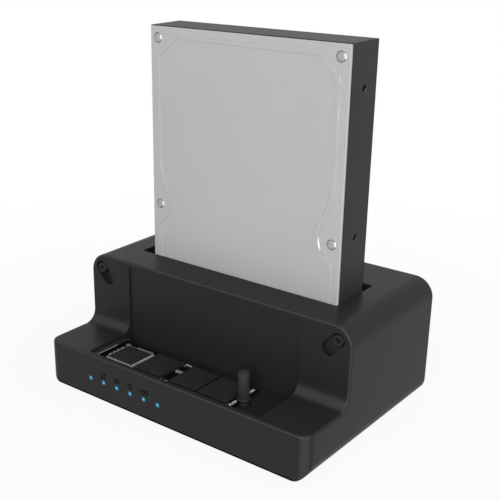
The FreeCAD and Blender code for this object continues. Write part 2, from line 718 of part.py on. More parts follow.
def usb_socket():
    z = usb_z()
    y1 = DEPTH - USB_RECESS
    skin = obround_hole_y(USB_X, z, USB_W, USB_H, y1 - USB_L, y1)
    room = obround_hole_y(USB_X, z, USB_W - USB_SKIN * 2, USB_H - USB_SKIN * 2, y1 - USB_L + WALL, y1 + WALL)
    half = USB_TONGUE / 2
    blade = box(USB_X - half, USB_X + half, y1 - USB_L + WALL - FIT, y1 - USB_SKIN,
                z - USB_SKIN, z + USB_SKIN)
    leg_y = y1 - USB_L + WALL
    legs = [box(USB_X + s * half - USB_SKIN, USB_X + s * half + USB_SKIN, leg_y, leg_y + WALL,
                BOARD_TOP, z - USB_H / 4) for s in SIGNS]
    return joined([skin.cut(room), blade] + legs)


def button(x):
    flange_y = BACK_INNER - FIT / 2 - BUTTON_FLANGE_T
    cap = rod(BUTTON_R, x, flange_y, REAR_Z, DEPTH - FIT - flange_y, "y", ROUND_SIDES)
    cap = cap.makeChamfer(GAP, edges_where(cap, lambda b: b.YMin > DEPTH - WALL))
    flange = rod(BUTTON_FLANGE_R, x, flange_y, REAR_Z, BUTTON_FLANGE_T, "y", ROUND_SIDES)
    return joined([cap, flange])


def switch(x):
    w, d, h = SWITCH
    tip_end = BACK_INNER - FIT / 2 - BUTTON_FLANGE_T - BUTTON_TRAVEL - GAP
    face = tip_end - SWITCH_TIP_L
    body = box(x - w / 2, x + w / 2, face - d, face, BOARD_TOP, REAR_Z + h / 2)
    body = body.makeChamfer(SWITCH_EDGE, edges_where(body, lambda b: b.ZMin > REAR_Z))
    return joined([body, rod(SWITCH_TIP_R, x, face - FIT, REAR_Z, SWITCH_TIP_L + FIT, "y")])


# Solid-state drive


def ssd_board():
    x0 = SSD_LEFT
    y0 = SSD_FRONT
    board = box(x0, SSD_RIGHT, y0, y0 + SSD_W, SSD_Z, SSD_TOP)
    key = SSD_FRONT + SSD_KEY_AT
    cuts = [
        cyl(SSD_NOTCH_R, SSD_RIGHT, SSD_MID, 0, HEIGHT),
        box(x0 - WALL, x0 + SSD_KEY_L - SSD_KEY_W / 2, key - SSD_KEY_W / 2, key + SSD_KEY_W / 2, 0, HEIGHT),
        cyl(SSD_KEY_W / 2, x0 + SSD_KEY_L - SSD_KEY_W / 2, key, 0, HEIGHT),
        box(x0 - WALL, x0 + SSD_KEY_L, y0 - WALL, y0 + SSD_KEY_W, 0, HEIGHT),
    ]
    return board.cut(cuts)


def on_ssd(u0, u1, v0, v1, height, edge=CHIP_EDGE):
    body = box(SSD_LEFT + u0, SSD_LEFT + u1, SSD_FRONT + v0, SSD_FRONT + v1, SSD_TOP, SSD_TOP + height)
    return body.makeChamfer(edge, edges_where(body, lambda b: b.ZMin > SSD_TOP + height / 2))


def controller_die():
    u0, u1, v0, v1 = CONTROLLER
    r = CONTROLLER_RING + FIT / 2
    return on_ssd(u0 + r, u1 - r, v0 + r, v1 - r, CONTROLLER_H)


def controller_ring():
    u0, u1, v0, v1 = CONTROLLER
    r = CONTROLLER_RING
    hole = box(SSD_LEFT + u0 + r, SSD_LEFT + u1 - r, SSD_FRONT + v0 + r, SSD_FRONT + v1 - r, 0, HEIGHT)
    return on_ssd(u0, u1, v0, v1, CONTROLLER_H - CHIP_EDGE).cut(hole)


def memory_chips():
    w, d = MEMORY_SIZE
    return apart(on_ssd(u, u + w, MEMORY_FRONT, MEMORY_FRONT + d, MEMORY_H) for u in MEMORY_AT)


def ssd_small_part(u, v, w, d):
    x = SSD_LEFT + u
    y = SSD_FRONT + v
    return box(x, x + w, y, y + d, SSD_TOP, SSD_TOP + SMALL_PART_H)


def ssd_small_parts():
    return apart(ssd_small_part(*place) for place in SMALL_PARTS)


def rubber_plug():
    """Rubber plug, post up, with the neck's upper end at the origin."""
    a = PLUG_FLANGE_T
    b = a + PLUG_POST_L
    c = -PLUG_NECK_L
    d = c - PLUG_STEM_L
    runs = [(PLUG_STEM_R, d, c), (PLUG_NECK_R, c, 0), (PLUG_FLANGE_R, 0, a), (PLUG_POST_R, a, b)]
    body = joined([rod(r, 0, 0, low, high - low, "z", ROUND_SIDES) for r, low, high in runs])
    return body.cut(rod(PLUG_BORE_R, 0, 0, d - PLUG_BORE_L, PLUG_BORE_L + PLUG_BORE_L, "z", HEX_SIDES))


def fitted_plug():
    plug = rubber_plug()
    plug.translate(V(SSD_RIGHT, SSD_MID, SSD_TOP))
    return plug


def spare_plug(side):
    plug = rubber_plug()
    plug.rotate(V(0, 0, 0), V(1, 0, 0), -90)
    flange_y = SHELF_DEPTH + PLUG_STEM_L + PLUG_NECK_L
    plug.translate(V(side * SPARE_X, flange_y, HEIGHT - SPARE_DOWN))
    return plug


# Hard drive


def drive_point(x, depth, down):
    """A place on the drive: from its left side, behind its cover face and below its top."""
    return V(DRIVE_LEFT + x, DRIVE_FRONT + depth, DRIVE_TOP - down)


# Corners of the bead's centre line as (x, down, radius), clockwise from the top left. A value below
# zero is measured back from the drive's right side or from its lower end.
BEAD_PATH = (
    (14.2, 4.4, 3.0), (-14.6, 4.4, 3.0), (-5.3, 14.4, 4.0), (-5.3, 63.0, 24.0), (-15.0, 82.0, 9.0),
    (-4.7, 90.0, 5.0), (-4.5, -14.0, 5.0), (-14.6, -4.4, 4.0), (14.0, -4.4, 4.0), (4.1, -14.0, 5.0),
    (4.1, 89.6, 4.0), (12.5, 81.3, 6.0), (4.1, 63.0, 24.0), (4.1, 14.4, 4.0),
)


def bead_corners():
    return [(x if x > 0 else x + DRIVE_W, down if down > 0 else down + DRIVE_L, radius)
            for x, down, radius in BEAD_PATH]


def offset_corner(before, here, after, offset):
    """Corner of a path moved sideways, with its radius grown or shrunk to stay parallel."""
    lines = []
    for (xa, da, _), (xb, db, _) in ((before, here), (here, after)):
        length = math.hypot(xb - xa, db - da)
        lines.append(((xb - xa) / length, (db - da) / length))
    (ax, ad), (bx, bd) = lines
    turn = ax * bd - ad * bx
    slide = (1 - ax * bx - ad * bd) / turn
    radius = here[2] - math.copysign(offset, turn)
    return here[0] + offset * (-ad + ax * slide), here[1] + offset * (ax + ad * slide), radius


def rounded_wire(corners, depth):
    """Closed wire of straight runs and tangent arcs on the drive's face."""
    count = len(corners)
    runs = []
    arcs = []
    for i in range(count):
        x, d, r = corners[i]
        ends = []
        for xo, do, _ in (corners[i - 1], corners[(i + 1) % count]):
            length = math.hypot(xo - x, do - d)
            ends.append(((xo - x) / length, (do - d) / length))
        (ax, ad), (bx, bd) = ends
        half = math.acos(ax * bx + ad * bd) / 2
        reach = r / math.tan(half)
        mx = ax + bx
        md = ad + bd
        size = math.hypot(mx, md)
        inward = r / math.sin(half) - r
        start = drive_point(x + ax * reach, depth, d + ad * reach)
        middle = drive_point(x + mx / size * inward, depth, d + md / size * inward)
        end = drive_point(x + bx * reach, depth, d + bd * reach)
        arcs.append(Part.Arc(start, middle, end).toShape())
        runs.append((start, end))
    for i in range(count):
        arcs.append(Part.makeLine(runs[i - 1][1], runs[i][0]))
    return Part.Wire(Part.__sortEdges__(arcs))


def bead_wire(offset, depth):
    path = bead_corners()
    after = path[1:] + path[:1]
    corners = [offset_corner(path[i - 1], path[i], after[i], offset) for i in range(len(path))]
    return rounded_wire(corners, depth)


def bead():
    wide = BEAD_W / 2
    slim = BEAD_TOP_W / 2
    ring = [Part.makeLoft([bead_wire(s * wide, COVER_T / 2), bead_wire(s * slim, 0)], True) for s in SIGNS]
    ring.sort(key=lambda solid: solid.Volume)
    return ring[1].cut(ring[0])


def disc(r, x, down, depth, height):
    p = drive_point(x, depth, down)
    return cyl(r, p.x, p.y, p.z, height, "y")


def cover_screw_places():
    rows = (COVER_SCREW_END, COVER_SCREW_ROW, DRIVE_L - COVER_SCREW_END)
    return [(x, down) for down in rows for x in (COVER_SCREW_IN, DRIVE_W - COVER_SCREW_IN)]


def drive_cover():
    a = drive_point(COVER_INSET, BEAD_H, DRIVE_L - COVER_INSET)
    b = drive_point(DRIVE_W - COVER_INSET, BEAD_H + COVER_T, COVER_INSET)
    body = box(a.x, b.x, a.y, b.y, a.z, b.z)
    corners = edges_where(body, lambda q: q.YLength > COVER_T / 2)
    body = body.makeFillet(DRIVE_CORNER_R, corners)
    rim = edges_where(body, lambda q: q.YMax < a.y + FIT and q.YLength < FIT)
    body = body.makeChamfer(COVER_INSET, rim)
    raised = [disc(HUB_R, HUB_X, HUB_DOWN, BEAD_H - DISC_H, COVER_T / 2),
              disc(PIVOT_R, PIVOT_X, PIVOT_DOWN, BEAD_H - DISC_H, COVER_T / 2)]
    body = joined([body, bead()] + raised)
    cuts = []
    for x, down in cover_screw_places():
        p = drive_point(x, -BEAD_H, down)
        cuts.append(rod(COVER_SCREW_R + GAP, p.x, p.y, p.z, BEAD_H * 2 + COVER_SCREW_SEAT, "y"))
        cuts.append(rod(COVER_SCREW_R / 2 + GAP, p.x, p.y, p.z, DRIVE_T / 2, "y"))
    return body.cut(cuts)


def cover_screw(x, down):
    p = drive_point(x, 0, down)
    head = rod(COVER_SCREW_R, p.x, p.y + FIT, p.z, BEAD_H + COVER_SCREW_SEAT - FIT, "y")
    shank = rod(COVER_SCREW_R / 2, p.x, p.y + BEAD_H + COVER_SCREW_SEAT, p.z, COVER_SHANK_L, "y")
    return joined([head, shank])


def drive_base():
    depth = BEAD_H + COVER_T
    a = drive_point(0, depth, DRIVE_L)
    b = drive_point(DRIVE_W, DRIVE_T, 0)
    body = box(a.x, b.x, a.y, b.y, a.z, b.z)
    body = body.makeFillet(DRIVE_CORNER_R, edges_where(body, lambda q: q.YLength > DRIVE_T / 2))
    back_rim = edges_where(body, lambda q: q.YMin > b.y - FIT)
    body = body.makeChamfer(GAP, back_rim)
    e = DRIVE_BOARD_EDGE
    floor = DRIVE_T - DRIVE_RECESS
    recess = box(a.x + e, b.x - e, DRIVE_FRONT + floor, b.y + WALL, a.z - WALL, a.z + DRIVE_BOARD_TOP + GAP)
    pad_y = DRIVE_FRONT + floor - FIT
    pads = [rod(DRIVE_PAD_R, x, pad_y, z, DRIVE_PAD_H + FIT, "y") for x, z in drive_board_screws()]
    notch_y = PLUG_Y - SOCKET_T / 2 - PLUG_WALL - GAP - GAP
    notch = box(PLUG_X - PLUG_HALF - GAP, PLUG_X + PLUG_HALF + GAP, notch_y, b.y + WALL,
                a.z - WALL, a.z + PLUG_H + GAP)
    cuts = [recess.cut(pads), notch]
    side_y = DRIVE_FRONT + SIDE_HOLE_IN
    for down in SIDE_HOLES_DOWN:
        for x in (DRIVE_LEFT - WALL, DRIVE_RIGHT - SIDE_HOLE_DEPTH):
            z = DRIVE_TOP - down
            cuts.append(rod(SIDE_HOLE_R, x, side_y, z, SIDE_HOLE_DEPTH + WALL, "x", ROUND_SIDES))
    for up in REAR_HOLES_UP:
        for x in (DRIVE_LEFT + REAR_HOLE_EDGE, DRIVE_RIGHT - REAR_HOLE_EDGE):
            cuts.append(cyl(SIDE_HOLE_R, x, b.y - SIDE_HOLE_DEPTH, a.z + up, SIDE_HOLE_DEPTH + WALL, "y"))
    for x, down in cover_screw_places():
        p = drive_point(x, depth - WALL, down)
        cuts.append(rod(COVER_SCREW_R / 2 + FIT, p.x, p.y, p.z, WALL + COVER_SHANK_L, "y"))
    for x, z in drive_board_screws():
        cuts.append(rod(BOARD_SCREW_R + FIT, x, DRIVE_FRONT + floor - DRIVE_RECESS, z, DRIVE_T, "y"))
    motor = drive_point(HUB_X, DRIVE_T - MOTOR_CAP_T, HUB_DOWN)
    cuts.append(rod(MOTOR_CAP_R + GAP, motor.x, motor.y, motor.z, WALL, "y", ROUND_SIDES))
    return body.cut(cuts).removeSplitter()


def drive_board_screws():
    e = DRIVE_BOARD_EDGE + DRIVE_PAD_IN
    low = DRIVE_BOTTOM + PLUG_H + DRIVE_PAD_IN
    high = DRIVE_BOTTOM + DRIVE_BOARD_TOP - DRIVE_PAD_IN
    return [(x, z) for x in (DRIVE_LEFT + e, DRIVE_RIGHT - e) for z in (low, high)]


def drive_board():
    e = DRIVE_BOARD_EDGE + GAP
    y0 = DRIVE_FRONT + DRIVE_T - DRIVE_RECESS + DRIVE_PAD_H
    low = DRIVE_BOTTOM + PLUG_H + GAP
    high = DRIVE_BOTTOM + DRIVE_BOARD_TOP
    board = box(DRIVE_LEFT + e, DRIVE_RIGHT - e, y0, y0 + DRIVE_BOARD_T, low, high)
    places = drive_board_screws()
    return board.cut([rod(BOARD_SCREW_R + GAP, x, y0 - WALL, z, DRIVE_SCREW_L, "y") for x, z in places])


def drive_board_screw(x, z):
    y0 = DRIVE_FRONT + DRIVE_T - DRIVE_RECESS + DRIVE_PAD_H + DRIVE_BOARD_T
    head = rod(BOARD_HEAD_R, x, y0, z, BOARD_HEAD_H / 2, "y")
    return joined([head, rod(BOARD_SCREW_R, x, y0 - DRIVE_SCREW_L, z, DRIVE_SCREW_L, "y")])


def motor_cap():
    p = drive_point(HUB_X, DRIVE_T - MOTOR_CAP_T, HUB_DOWN)
    r = MOTOR_CAP_R
    t = MOTOR_CAP_T - GAP
    inner = MOTOR_DIMPLE_R
    cap = rod(r, p.x, p.y, p.z, t, "y", ROUND_SIDES)
    return cap.cut(rod(inner, p.x, p.y + t / 2, p.z, t, "y", ROUND_SIDES))


def drive_plug():
    y0 = PLUG_Y - SOCKET_T / 2 - GAP - PLUG_WALL
    y1 = PLUG_Y + SOCKET_T / 2 + GAP + PLUG_WALL
    z0 = DRIVE_BOTTOM
    body = box(PLUG_X - PLUG_HALF, PLUG_X + PLUG_HALF, y0, min(y1, DRIVE_BACK), z0, z0 + PLUG_H)
    half = SOCKET_HALF + GAP
    room = box(PLUG_X - half, PLUG_X + half, PLUG_Y - SOCKET_T / 2 - GAP, PLUG_Y + SOCKET_T / 2 + GAP,
               z0 - WALL, z0 + PLUG_CAVITY)
    deep = z0 + PLUG_CAVITY + FIT
    tongues = [tongue(span, 0, z0 + TONGUE_UP, deep) for span in (TONGUE_SHORT, TONGUE_LONG)]
    return joined([body.cut(room)] + tongues)


# Writing the pieces


def save(name, shape):
    shape = shape.copy()
    shape.translate(V(0, -DEPTH / 2, FOOT_STAND))
    shape.exportStep(os.path.join("parts", name + ".step"))


def pieces():
    yield "housing_shell", housing_shell()
    yield "base_plate", base_plate()
    yield "rubber_feet", apart(foot(x, y) for x, y in foot_places())
    yield "case_screws", apart(case_screw(x, y) for x, y in screw_places())
    yield "main_board", main_board()
    yield "board_screws", apart(board_screw(x, y) for x, y in board_screw_places())
    yield "board_chips", apart(block_on(*c) for c in CHIPS)
    yield "board_coils", apart(block_on(x, y, *COIL_SIZE, edge=COIL_EDGE) for x, y in coil_places())
    yield "board_capacitors", apart(capacitor(x, back) for x, back in CANS)
    yield "light_pipes", apart(light_pipe(x) for x in light_places())
    yield "status_leds", apart(status_led(x) for x in light_places())
    yield "dc_socket", dc_socket()
    yield "usb_socket", usb_socket()
    yield "power_switch", switch(POWER_X)
    yield "clone_switch", switch(CLONE_X)
    yield "power_button", button(POWER_X)
    yield "clone_button", button(CLONE_X)
    yield "sata_socket", sata_socket()
    yield "m2_board", m2_board()
    yield "spacer_posts", apart(spacer_post(x, y) for x, y in POST_AT)
    yield "board_link", board_link()
    yield "m2_socket", m2_socket()
    yield "ssd_board", ssd_board()
    yield "ssd_controller", controller_die()
    yield "ssd_controller_ring", controller_ring()
    yield "ssd_memory", memory_chips()
    yield "ssd_small_parts", ssd_small_parts()
    yield "ssd_plug", fitted_plug()
    yield "spare_plug_left", spare_plug(-1)
    yield "spare_plug_right", spare_plug(1)
    yield "drive_base", drive_base()
    yield "drive_cover", drive_cover()
    yield "drive_cover_screws", apart(cover_screw(x, d) for x, d in cover_screw_places())
    yield "drive_board", drive_board()
    yield "drive_board_screws", apart(drive_board_screw(x, z) for x, z in drive_board_screws())
    yield "drive_motor_cap", motor_cap()
    yield "drive_plug", drive_plug()


def main():
    os.makedirs("parts", exist_ok=True)
    for name, shape in pieces():
        save(name, shape)


main()
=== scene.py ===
"""Looks of a drive duplicator: its finishes, small parts, printing and stage."""

import json
import math

import bmesh
import bpy
from mathutils import Matrix, Vector


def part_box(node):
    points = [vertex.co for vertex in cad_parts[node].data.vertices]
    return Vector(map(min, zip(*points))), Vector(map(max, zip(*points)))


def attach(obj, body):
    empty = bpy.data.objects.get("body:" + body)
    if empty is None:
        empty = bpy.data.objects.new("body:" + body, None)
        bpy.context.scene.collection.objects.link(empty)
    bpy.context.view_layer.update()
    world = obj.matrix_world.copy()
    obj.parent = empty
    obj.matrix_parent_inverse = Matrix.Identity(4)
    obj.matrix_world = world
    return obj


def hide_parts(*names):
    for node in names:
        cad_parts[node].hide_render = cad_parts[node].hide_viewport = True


bl_info = {
    "name": "Drive duplicator",
    "version": (1, 0, 0),
    "blender": (4, 5, 0),
    "location": "3D View > Sidebar > Duplicator",
    "description": "Finishes, small parts and stage of a drive duplicator",
    "category": "Object",
}

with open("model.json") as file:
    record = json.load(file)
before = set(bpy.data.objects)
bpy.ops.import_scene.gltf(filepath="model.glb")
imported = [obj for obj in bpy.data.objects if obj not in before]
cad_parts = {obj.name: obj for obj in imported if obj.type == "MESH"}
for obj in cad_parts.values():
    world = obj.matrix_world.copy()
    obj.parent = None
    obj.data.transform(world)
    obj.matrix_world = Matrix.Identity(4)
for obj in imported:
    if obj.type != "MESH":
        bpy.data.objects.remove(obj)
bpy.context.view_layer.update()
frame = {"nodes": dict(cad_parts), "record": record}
MM = 0.001
# A mark stands this far off its face, and its film is this thick
LIFT = 0.003 * MM
FILM = 0.02 * MM
# The recess behind the shelf starts here, and reaches this far to each side
RECESS_FRONT = -35 * MM
RECESS_SIDE = 60 * MM


def corner(node, end):
    """Lowest (0) or highest (1) corner of a CAD node."""
    return Vector(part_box(node)[end])


SHELL_LOW = corner("housing_shell", 0)
SHELL_HIGH = corner("housing_shell", 1)
DRIVE_HIGH = corner("drive_base", 1)
CARD_LOW = corner("ssd_board", 0)
CARD_HIGH = corner("ssd_board", 1)
LIGHT_LOW = corner("light_pipes", 0)
LIGHT_HIGH = corner("light_pipes", 1)


# Sizes and colours


def length(name, description, default):
    return bpy.props.FloatProperty(name=name, description=description, default=default,
                                   unit="LENGTH", subtype="DISTANCE")


def count(name, description, default):
    return bpy.props.IntProperty(name=name, description=description, default=default, min=1)


def colour(name, description, code):
    return bpy.props.FloatVectorProperty(name=name, description=description, default=linear(code)[:3],
                                         subtype="COLOR", size=3, min=0, max=1)


def linear(code):
    """An sRGB hex colour as the linear values that shaders take."""
    parts = [int(code[i:i + 2], 16) / 255 for i in (1, 3, 5)]
    return tuple(p / 12.92 if p <= 0.04045 else ((p + 0.055) / 1.055) ** 2.4 for p in parts) + (1.0,)


class LightSizes(bpy.types.PropertyGroup):
    lights: count("Lights", "Status lights in the front row", 6)
    radius: length("Radius", "Radius of a light's lens", (LIGHT_HIGH.z - LIGHT_LOW.z) / 2)
    halo: length("Halo", "Radius of the ring that the light spills on the plastic", 1.4 * MM)
    print_height: length("Print height", "Height of the figures above the lights", 2.5 * MM)
    print_rise: length("Print rise", "From a light's middle up to the middle of its figures", 3.4 * MM)


class ScrewSizes(bpy.types.PropertyGroup):
    cover_head: length("Cover head", "Head radius of the drive's cover screws", 2.1 * MM)
    board_head: length("Board head", "Head radius of the board screws", 2.3 * MM)
    case_head: length("Case head", "Head radius of the case screws", 2.7 * MM)
    recess: bpy.props.FloatProperty(name="Recess", description="Recess radius as a share of the head's",
                                    default=0.56, min=0.2, max=0.8, subtype="FACTOR")
    recess_depth: length("Recess depth", "Depth of the driver recess", 0.6 * MM)


class PlugSizes(bpy.types.PropertyGroup):
    rounding: length("Rounding", "Rounding of the rubber plugs' edges", 0.35 * MM)
    flange: length("Flange", "Radius of the flange that holds the card", 3.0 * MM)
    flange_height: length("Flange height", "Height of the flange", 0.9 * MM)
    post: length("Post", "Radius of the post above the flange", 2.5 * MM)
    neck: length("Neck", "Radius of the neck in the card's notch", 1.55 * MM)
    neck_height: length("Neck height", "Height of the neck", 0.9 * MM)
    stem: length("Stem", "Radius of the stem below the card", 2.45 * MM)
    stem_height: length("Stem height", "Height of the stem", 3.6 * MM)
    bore: length("Bore", "Across the flats of the hole in a stem", 2.3 * MM)
    rim: length("Rim", "Width of the polished rim round a plug pocket", 0.4 * MM)
    groove: length("Groove", "Depth of the ring groove round the hole in a stem", 0.3 * MM)
    bore_depth: length("Bore depth", "Depth of the hole in a stem", 6.0 * MM)


class PressSizes(bpy.types.PropertyGroup):
    hub_radius: length("Hub radius", "Radius of the raised disc over the drive's hub", 17.5 * MM)
    hub_x: length("Hub place", "Hub's middle from the drive's left side", 49.6 * MM)
    hub_down: length("Hub drop", "Hub's middle below the drive's top", 52.0 * MM)
    pivot_radius: length("Pivot radius", "Radius of the raised disc over the arm's pivot", 9.4 * MM)
    pivot_x: length("Pivot place", "Pivot's middle from the drive's left side", 59.6 * MM)
    pivot_down: length("Pivot drop", "Pivot's middle below the drive's top", 111.3 * MM)
    line: length("Line", "Width of the shadow line at the foot of a pressed edge", 0.3 * MM)
    glint: length("Glint", "Width of the polished line on a pressed edge that faces the light", 0.6 * MM)
    shade: length("Shade", "Width of the dull line on the lower right of a raised disc", 1.1 * MM)
    hole: length("Side hole", "Radius of the sunk rim round a hole in the drive's sides", 2.15 * MM)
    rear_line: length("Rear line", "Width of the dark line along the drive's rear edge", 0.5 * MM)


class ContactSizes(bpy.types.PropertyGroup):
    card_pitch: length("Card pitch", "Spacing of the contacts on the card's edge", 0.5 * MM)
    drive_pitch: length("Drive pitch", "Spacing of the contacts on the drive's plug", 1.27 * MM)
    thickness: length("Thickness", "How far a gold contact stands proud", 0.05 * MM)


class DockColours(bpy.types.PropertyGroup):
    housing: colour("Housing", "Moulded housing", "#232323")
    cover: colour("Drive cover", "Satin steel cover of the hard drive", "#b6b6b6")
    casting: colour("Drive base", "Dark casting of the hard drive", "#292929")
    light: colour("Lights", "Glow at the rim of the status lights", "#0a4056")
    floor: colour("Floor", "Pale floor and backdrop", "#cdcdcd")


GROUPS = {
    "duplicator_lights": LightSizes,
    "duplicator_screws": ScrewSizes,
    "duplicator_plugs": PlugSizes,
    "duplicator_press": PressSizes,
    "duplicator_contacts": ContactSizes,
    "duplicator_colours": DockColours,
}


# Nodes and finishes


def add(tree, kind, fields=None, inputs=None):
    """Adds one node, sets its fields, and gives its inputs values or links."""
    made = tree.nodes.new(kind)
    for key, value in (fields or {}).items():
        setattr(made, key, value)
    for key, value in (inputs or {}).items():
        if isinstance(value, bpy.types.NodeSocket):
            tree.links.new(value, made.inputs[key])
        else:
            made.inputs[key].default_value = value
    return made


def new_material(name):
    material = bpy.data.materials.new(name)
    material.use_nodes = True
    material.node_tree.nodes.clear()
    return material, material.node_tree


def finish(name, base, tone, rough, grain=0.5, stretch=(1, 1, 1), height=0.0, patch=25.0, metal=0.0,
           spread=0.35, ior=1.45, level=0.5):
    """A moulded, cast, rolled or plated surface: two close tones in patches, a fine grain in gloss and
    height. grain, patch and height are in millimetres, and level is the strength of the sheen."""
    material, tree = new_material(name)
    place = add(tree, "ShaderNodeTexCoord").outputs["Object"]
    fine_place = add(tree, "ShaderNodeMapping", inputs={"Vector": place, "Scale": stretch}).outputs[0]
    fine = add(tree, "ShaderNodeTexNoise", inputs={"Vector": fine_place, "Scale": 1 / (grain * MM),
                                                   "Detail": 3.0, "Roughness": 0.6}).outputs[0]
    broad = add(tree, "ShaderNodeTexNoise", inputs={"Vector": place, "Scale": 1 / (patch * MM),
                                                    "Detail": 2.0}).outputs[0]
    mixed = add(tree, "ShaderNodeMath", {"operation": "MULTIPLY_ADD"},
                {0: fine, 1: spread, 2: broad}).outputs[0]
    share = add(tree, "ShaderNodeMapRange", inputs={0: mixed, 1: 0.35 + spread * 0.4, 2: 0.65 + spread * 0.6})
    shade = add(tree, "ShaderNodeMix", {"data_type": "RGBA"},
                {"Factor": share.outputs[0], 6: linear(base), 7: linear(tone)}).outputs[2]
    gloss = add(tree, "ShaderNodeMapRange",
                inputs={0: fine, 1: 0.3, 2: 0.7, 3: rough[0], 4: rough[1]}).outputs[0]
    shader = add(tree, "ShaderNodeBsdfPrincipled",
                 inputs={"Base Color": shade, "Roughness": gloss, "Metallic": metal})
    if metal < 1:
        shader.inputs["IOR"].default_value = ior
        shader.inputs["Specular IOR Level"].default_value = level
    if height:
        bump = add(tree, "ShaderNodeBump", inputs={"Height": fine, "Distance": height * MM, "Strength": 1.0})
        tree.links.new(bump.outputs[0], shader.inputs["Normal"])
    add(tree, "ShaderNodeOutputMaterial", inputs={"Surface": shader.outputs[0]})
    return material


def painted_edge_light_and_shade(material, tone, dull):
    """Rounded edges of a moulding that turn away from its front take a paler tone: painted highlight.
    Upright edges in the recess take the dull tone instead: painted shade."""
    tree = material.node_tree
    shader = next(n for n in tree.nodes if n.type == "BSDF_PRINCIPLED")
    shade = shader.inputs["Base Color"].links[0].from_socket
    normal = add(tree, "ShaderNodeNewGeometry").outputs["Normal"]
    size = add(tree, "ShaderNodeVectorMath", {"operation": "ABSOLUTE"}, {0: normal}).outputs[0]
    x, y, z = add(tree, "ShaderNodeSeparateXYZ", inputs={0: size}).outputs
    largest = add(tree, "ShaderNodeMath", {"operation": "MAXIMUM"}, {0: x, 1: y}).outputs[0]
    largest = add(tree, "ShaderNodeMath", {"operation": "MAXIMUM"}, {0: largest, 1: z}).outputs[0]
    # Painted highlight: rounded edges between two faces take the paler tone
    turned = add(tree, "ShaderNodeMapRange", inputs={0: largest, 1: 0.84, 2: 0.96, 3: 1.0, 4: 0.0}).outputs[0]
    front = add(tree, "ShaderNodeMapRange", inputs={0: y, 1: 0.2, 2: 0.45}).outputs[0]
    share = add(tree, "ShaderNodeMath", {"operation": "MULTIPLY"}, {0: turned, 1: front}).outputs[0]
    place = add(tree, "ShaderNodeTexCoord").outputs["Object"]
    across, depth, _ = add(tree, "ShaderNodeSeparateXYZ", inputs={0: place}).outputs
    across = add(tree, "ShaderNodeMath", {"operation": "ABSOLUTE"}, {0: across}).outputs[0]
    # Painted shade: upright edges deep in the recess take the dark dull tone
    recess_shade_mask = add(tree, "ShaderNodeMath", {"operation": "LESS_THAN"}, {0: z, 1: 0.12}).outputs[0]
    for test, value, limit in (("GREATER_THAN", depth, RECESS_FRONT), ("LESS_THAN", across, RECESS_SIDE)):
        inside = add(tree, "ShaderNodeMath", {"operation": test}, {0: value, 1: limit}).outputs[0]
        recess_shade_mask = add(tree, "ShaderNodeMath", {"operation": "MULTIPLY"}, {0: recess_shade_mask, 1: inside}).outputs[0]
    edge = add(tree, "ShaderNodeMix", {"data_type": "RGBA"},
               {"Factor": recess_shade_mask, 6: linear(tone), 7: linear(dull)}).outputs[2]
    shade = add(tree, "ShaderNodeMix", {"data_type": "RGBA"}, {"Factor": share, 6: shade, 7: edge}).outputs[2]
    tree.links.new(shade, shader.inputs["Base Color"])
    return material


def painted_foot_shadow(material, height):
    """A moulding's lowest edge, up to a height, and what turns under it take painted shadow: black
    without any sheen."""
    tree = material.node_tree
    output = next(n for n in tree.nodes if n.type == "OUTPUT_MATERIAL")
    skin = output.inputs["Surface"].links[0].from_socket
    place = add(tree, "ShaderNodeTexCoord").outputs["Object"]
    z = add(tree, "ShaderNodeSeparateXYZ", inputs={0: place}).outputs[2]
    top = SHELL_LOW.z + height
    edge = add(tree, "ShaderNodeMapRange",
               inputs={0: z, 1: top, 2: top + 0.1 * MM, 3: 1.0, 4: 0.0}).outputs[0]
    normal = add(tree, "ShaderNodeNewGeometry").outputs["Normal"]
    turned = add(tree, "ShaderNodeSeparateXYZ", inputs={0: normal}).outputs[2]
    under = add(tree, "ShaderNodeMapRange", inputs={0: turned, 1: -0.74, 2: -0.66, 3: 1.0, 4: 0.0}).outputs[0]
    share = add(tree, "ShaderNodeMath", {"operation": "MAXIMUM"}, {0: edge, 1: under}).outputs[0]
    # Painted shadow: a black skin without sheen, mixed in along the foot and where faces turn under
    dark = add(tree, "ShaderNodeBsdfPrincipled", inputs={
        "Base Color": linear("#050505"), "Roughness": 0.9, "Specular IOR Level": 0.0}).outputs[0]
    both = add(tree, "ShaderNodeMixShader", inputs={0: share, 1: skin, 2: dark}).outputs[0]
    tree.links.new(both, output.inputs["Surface"])
    return material


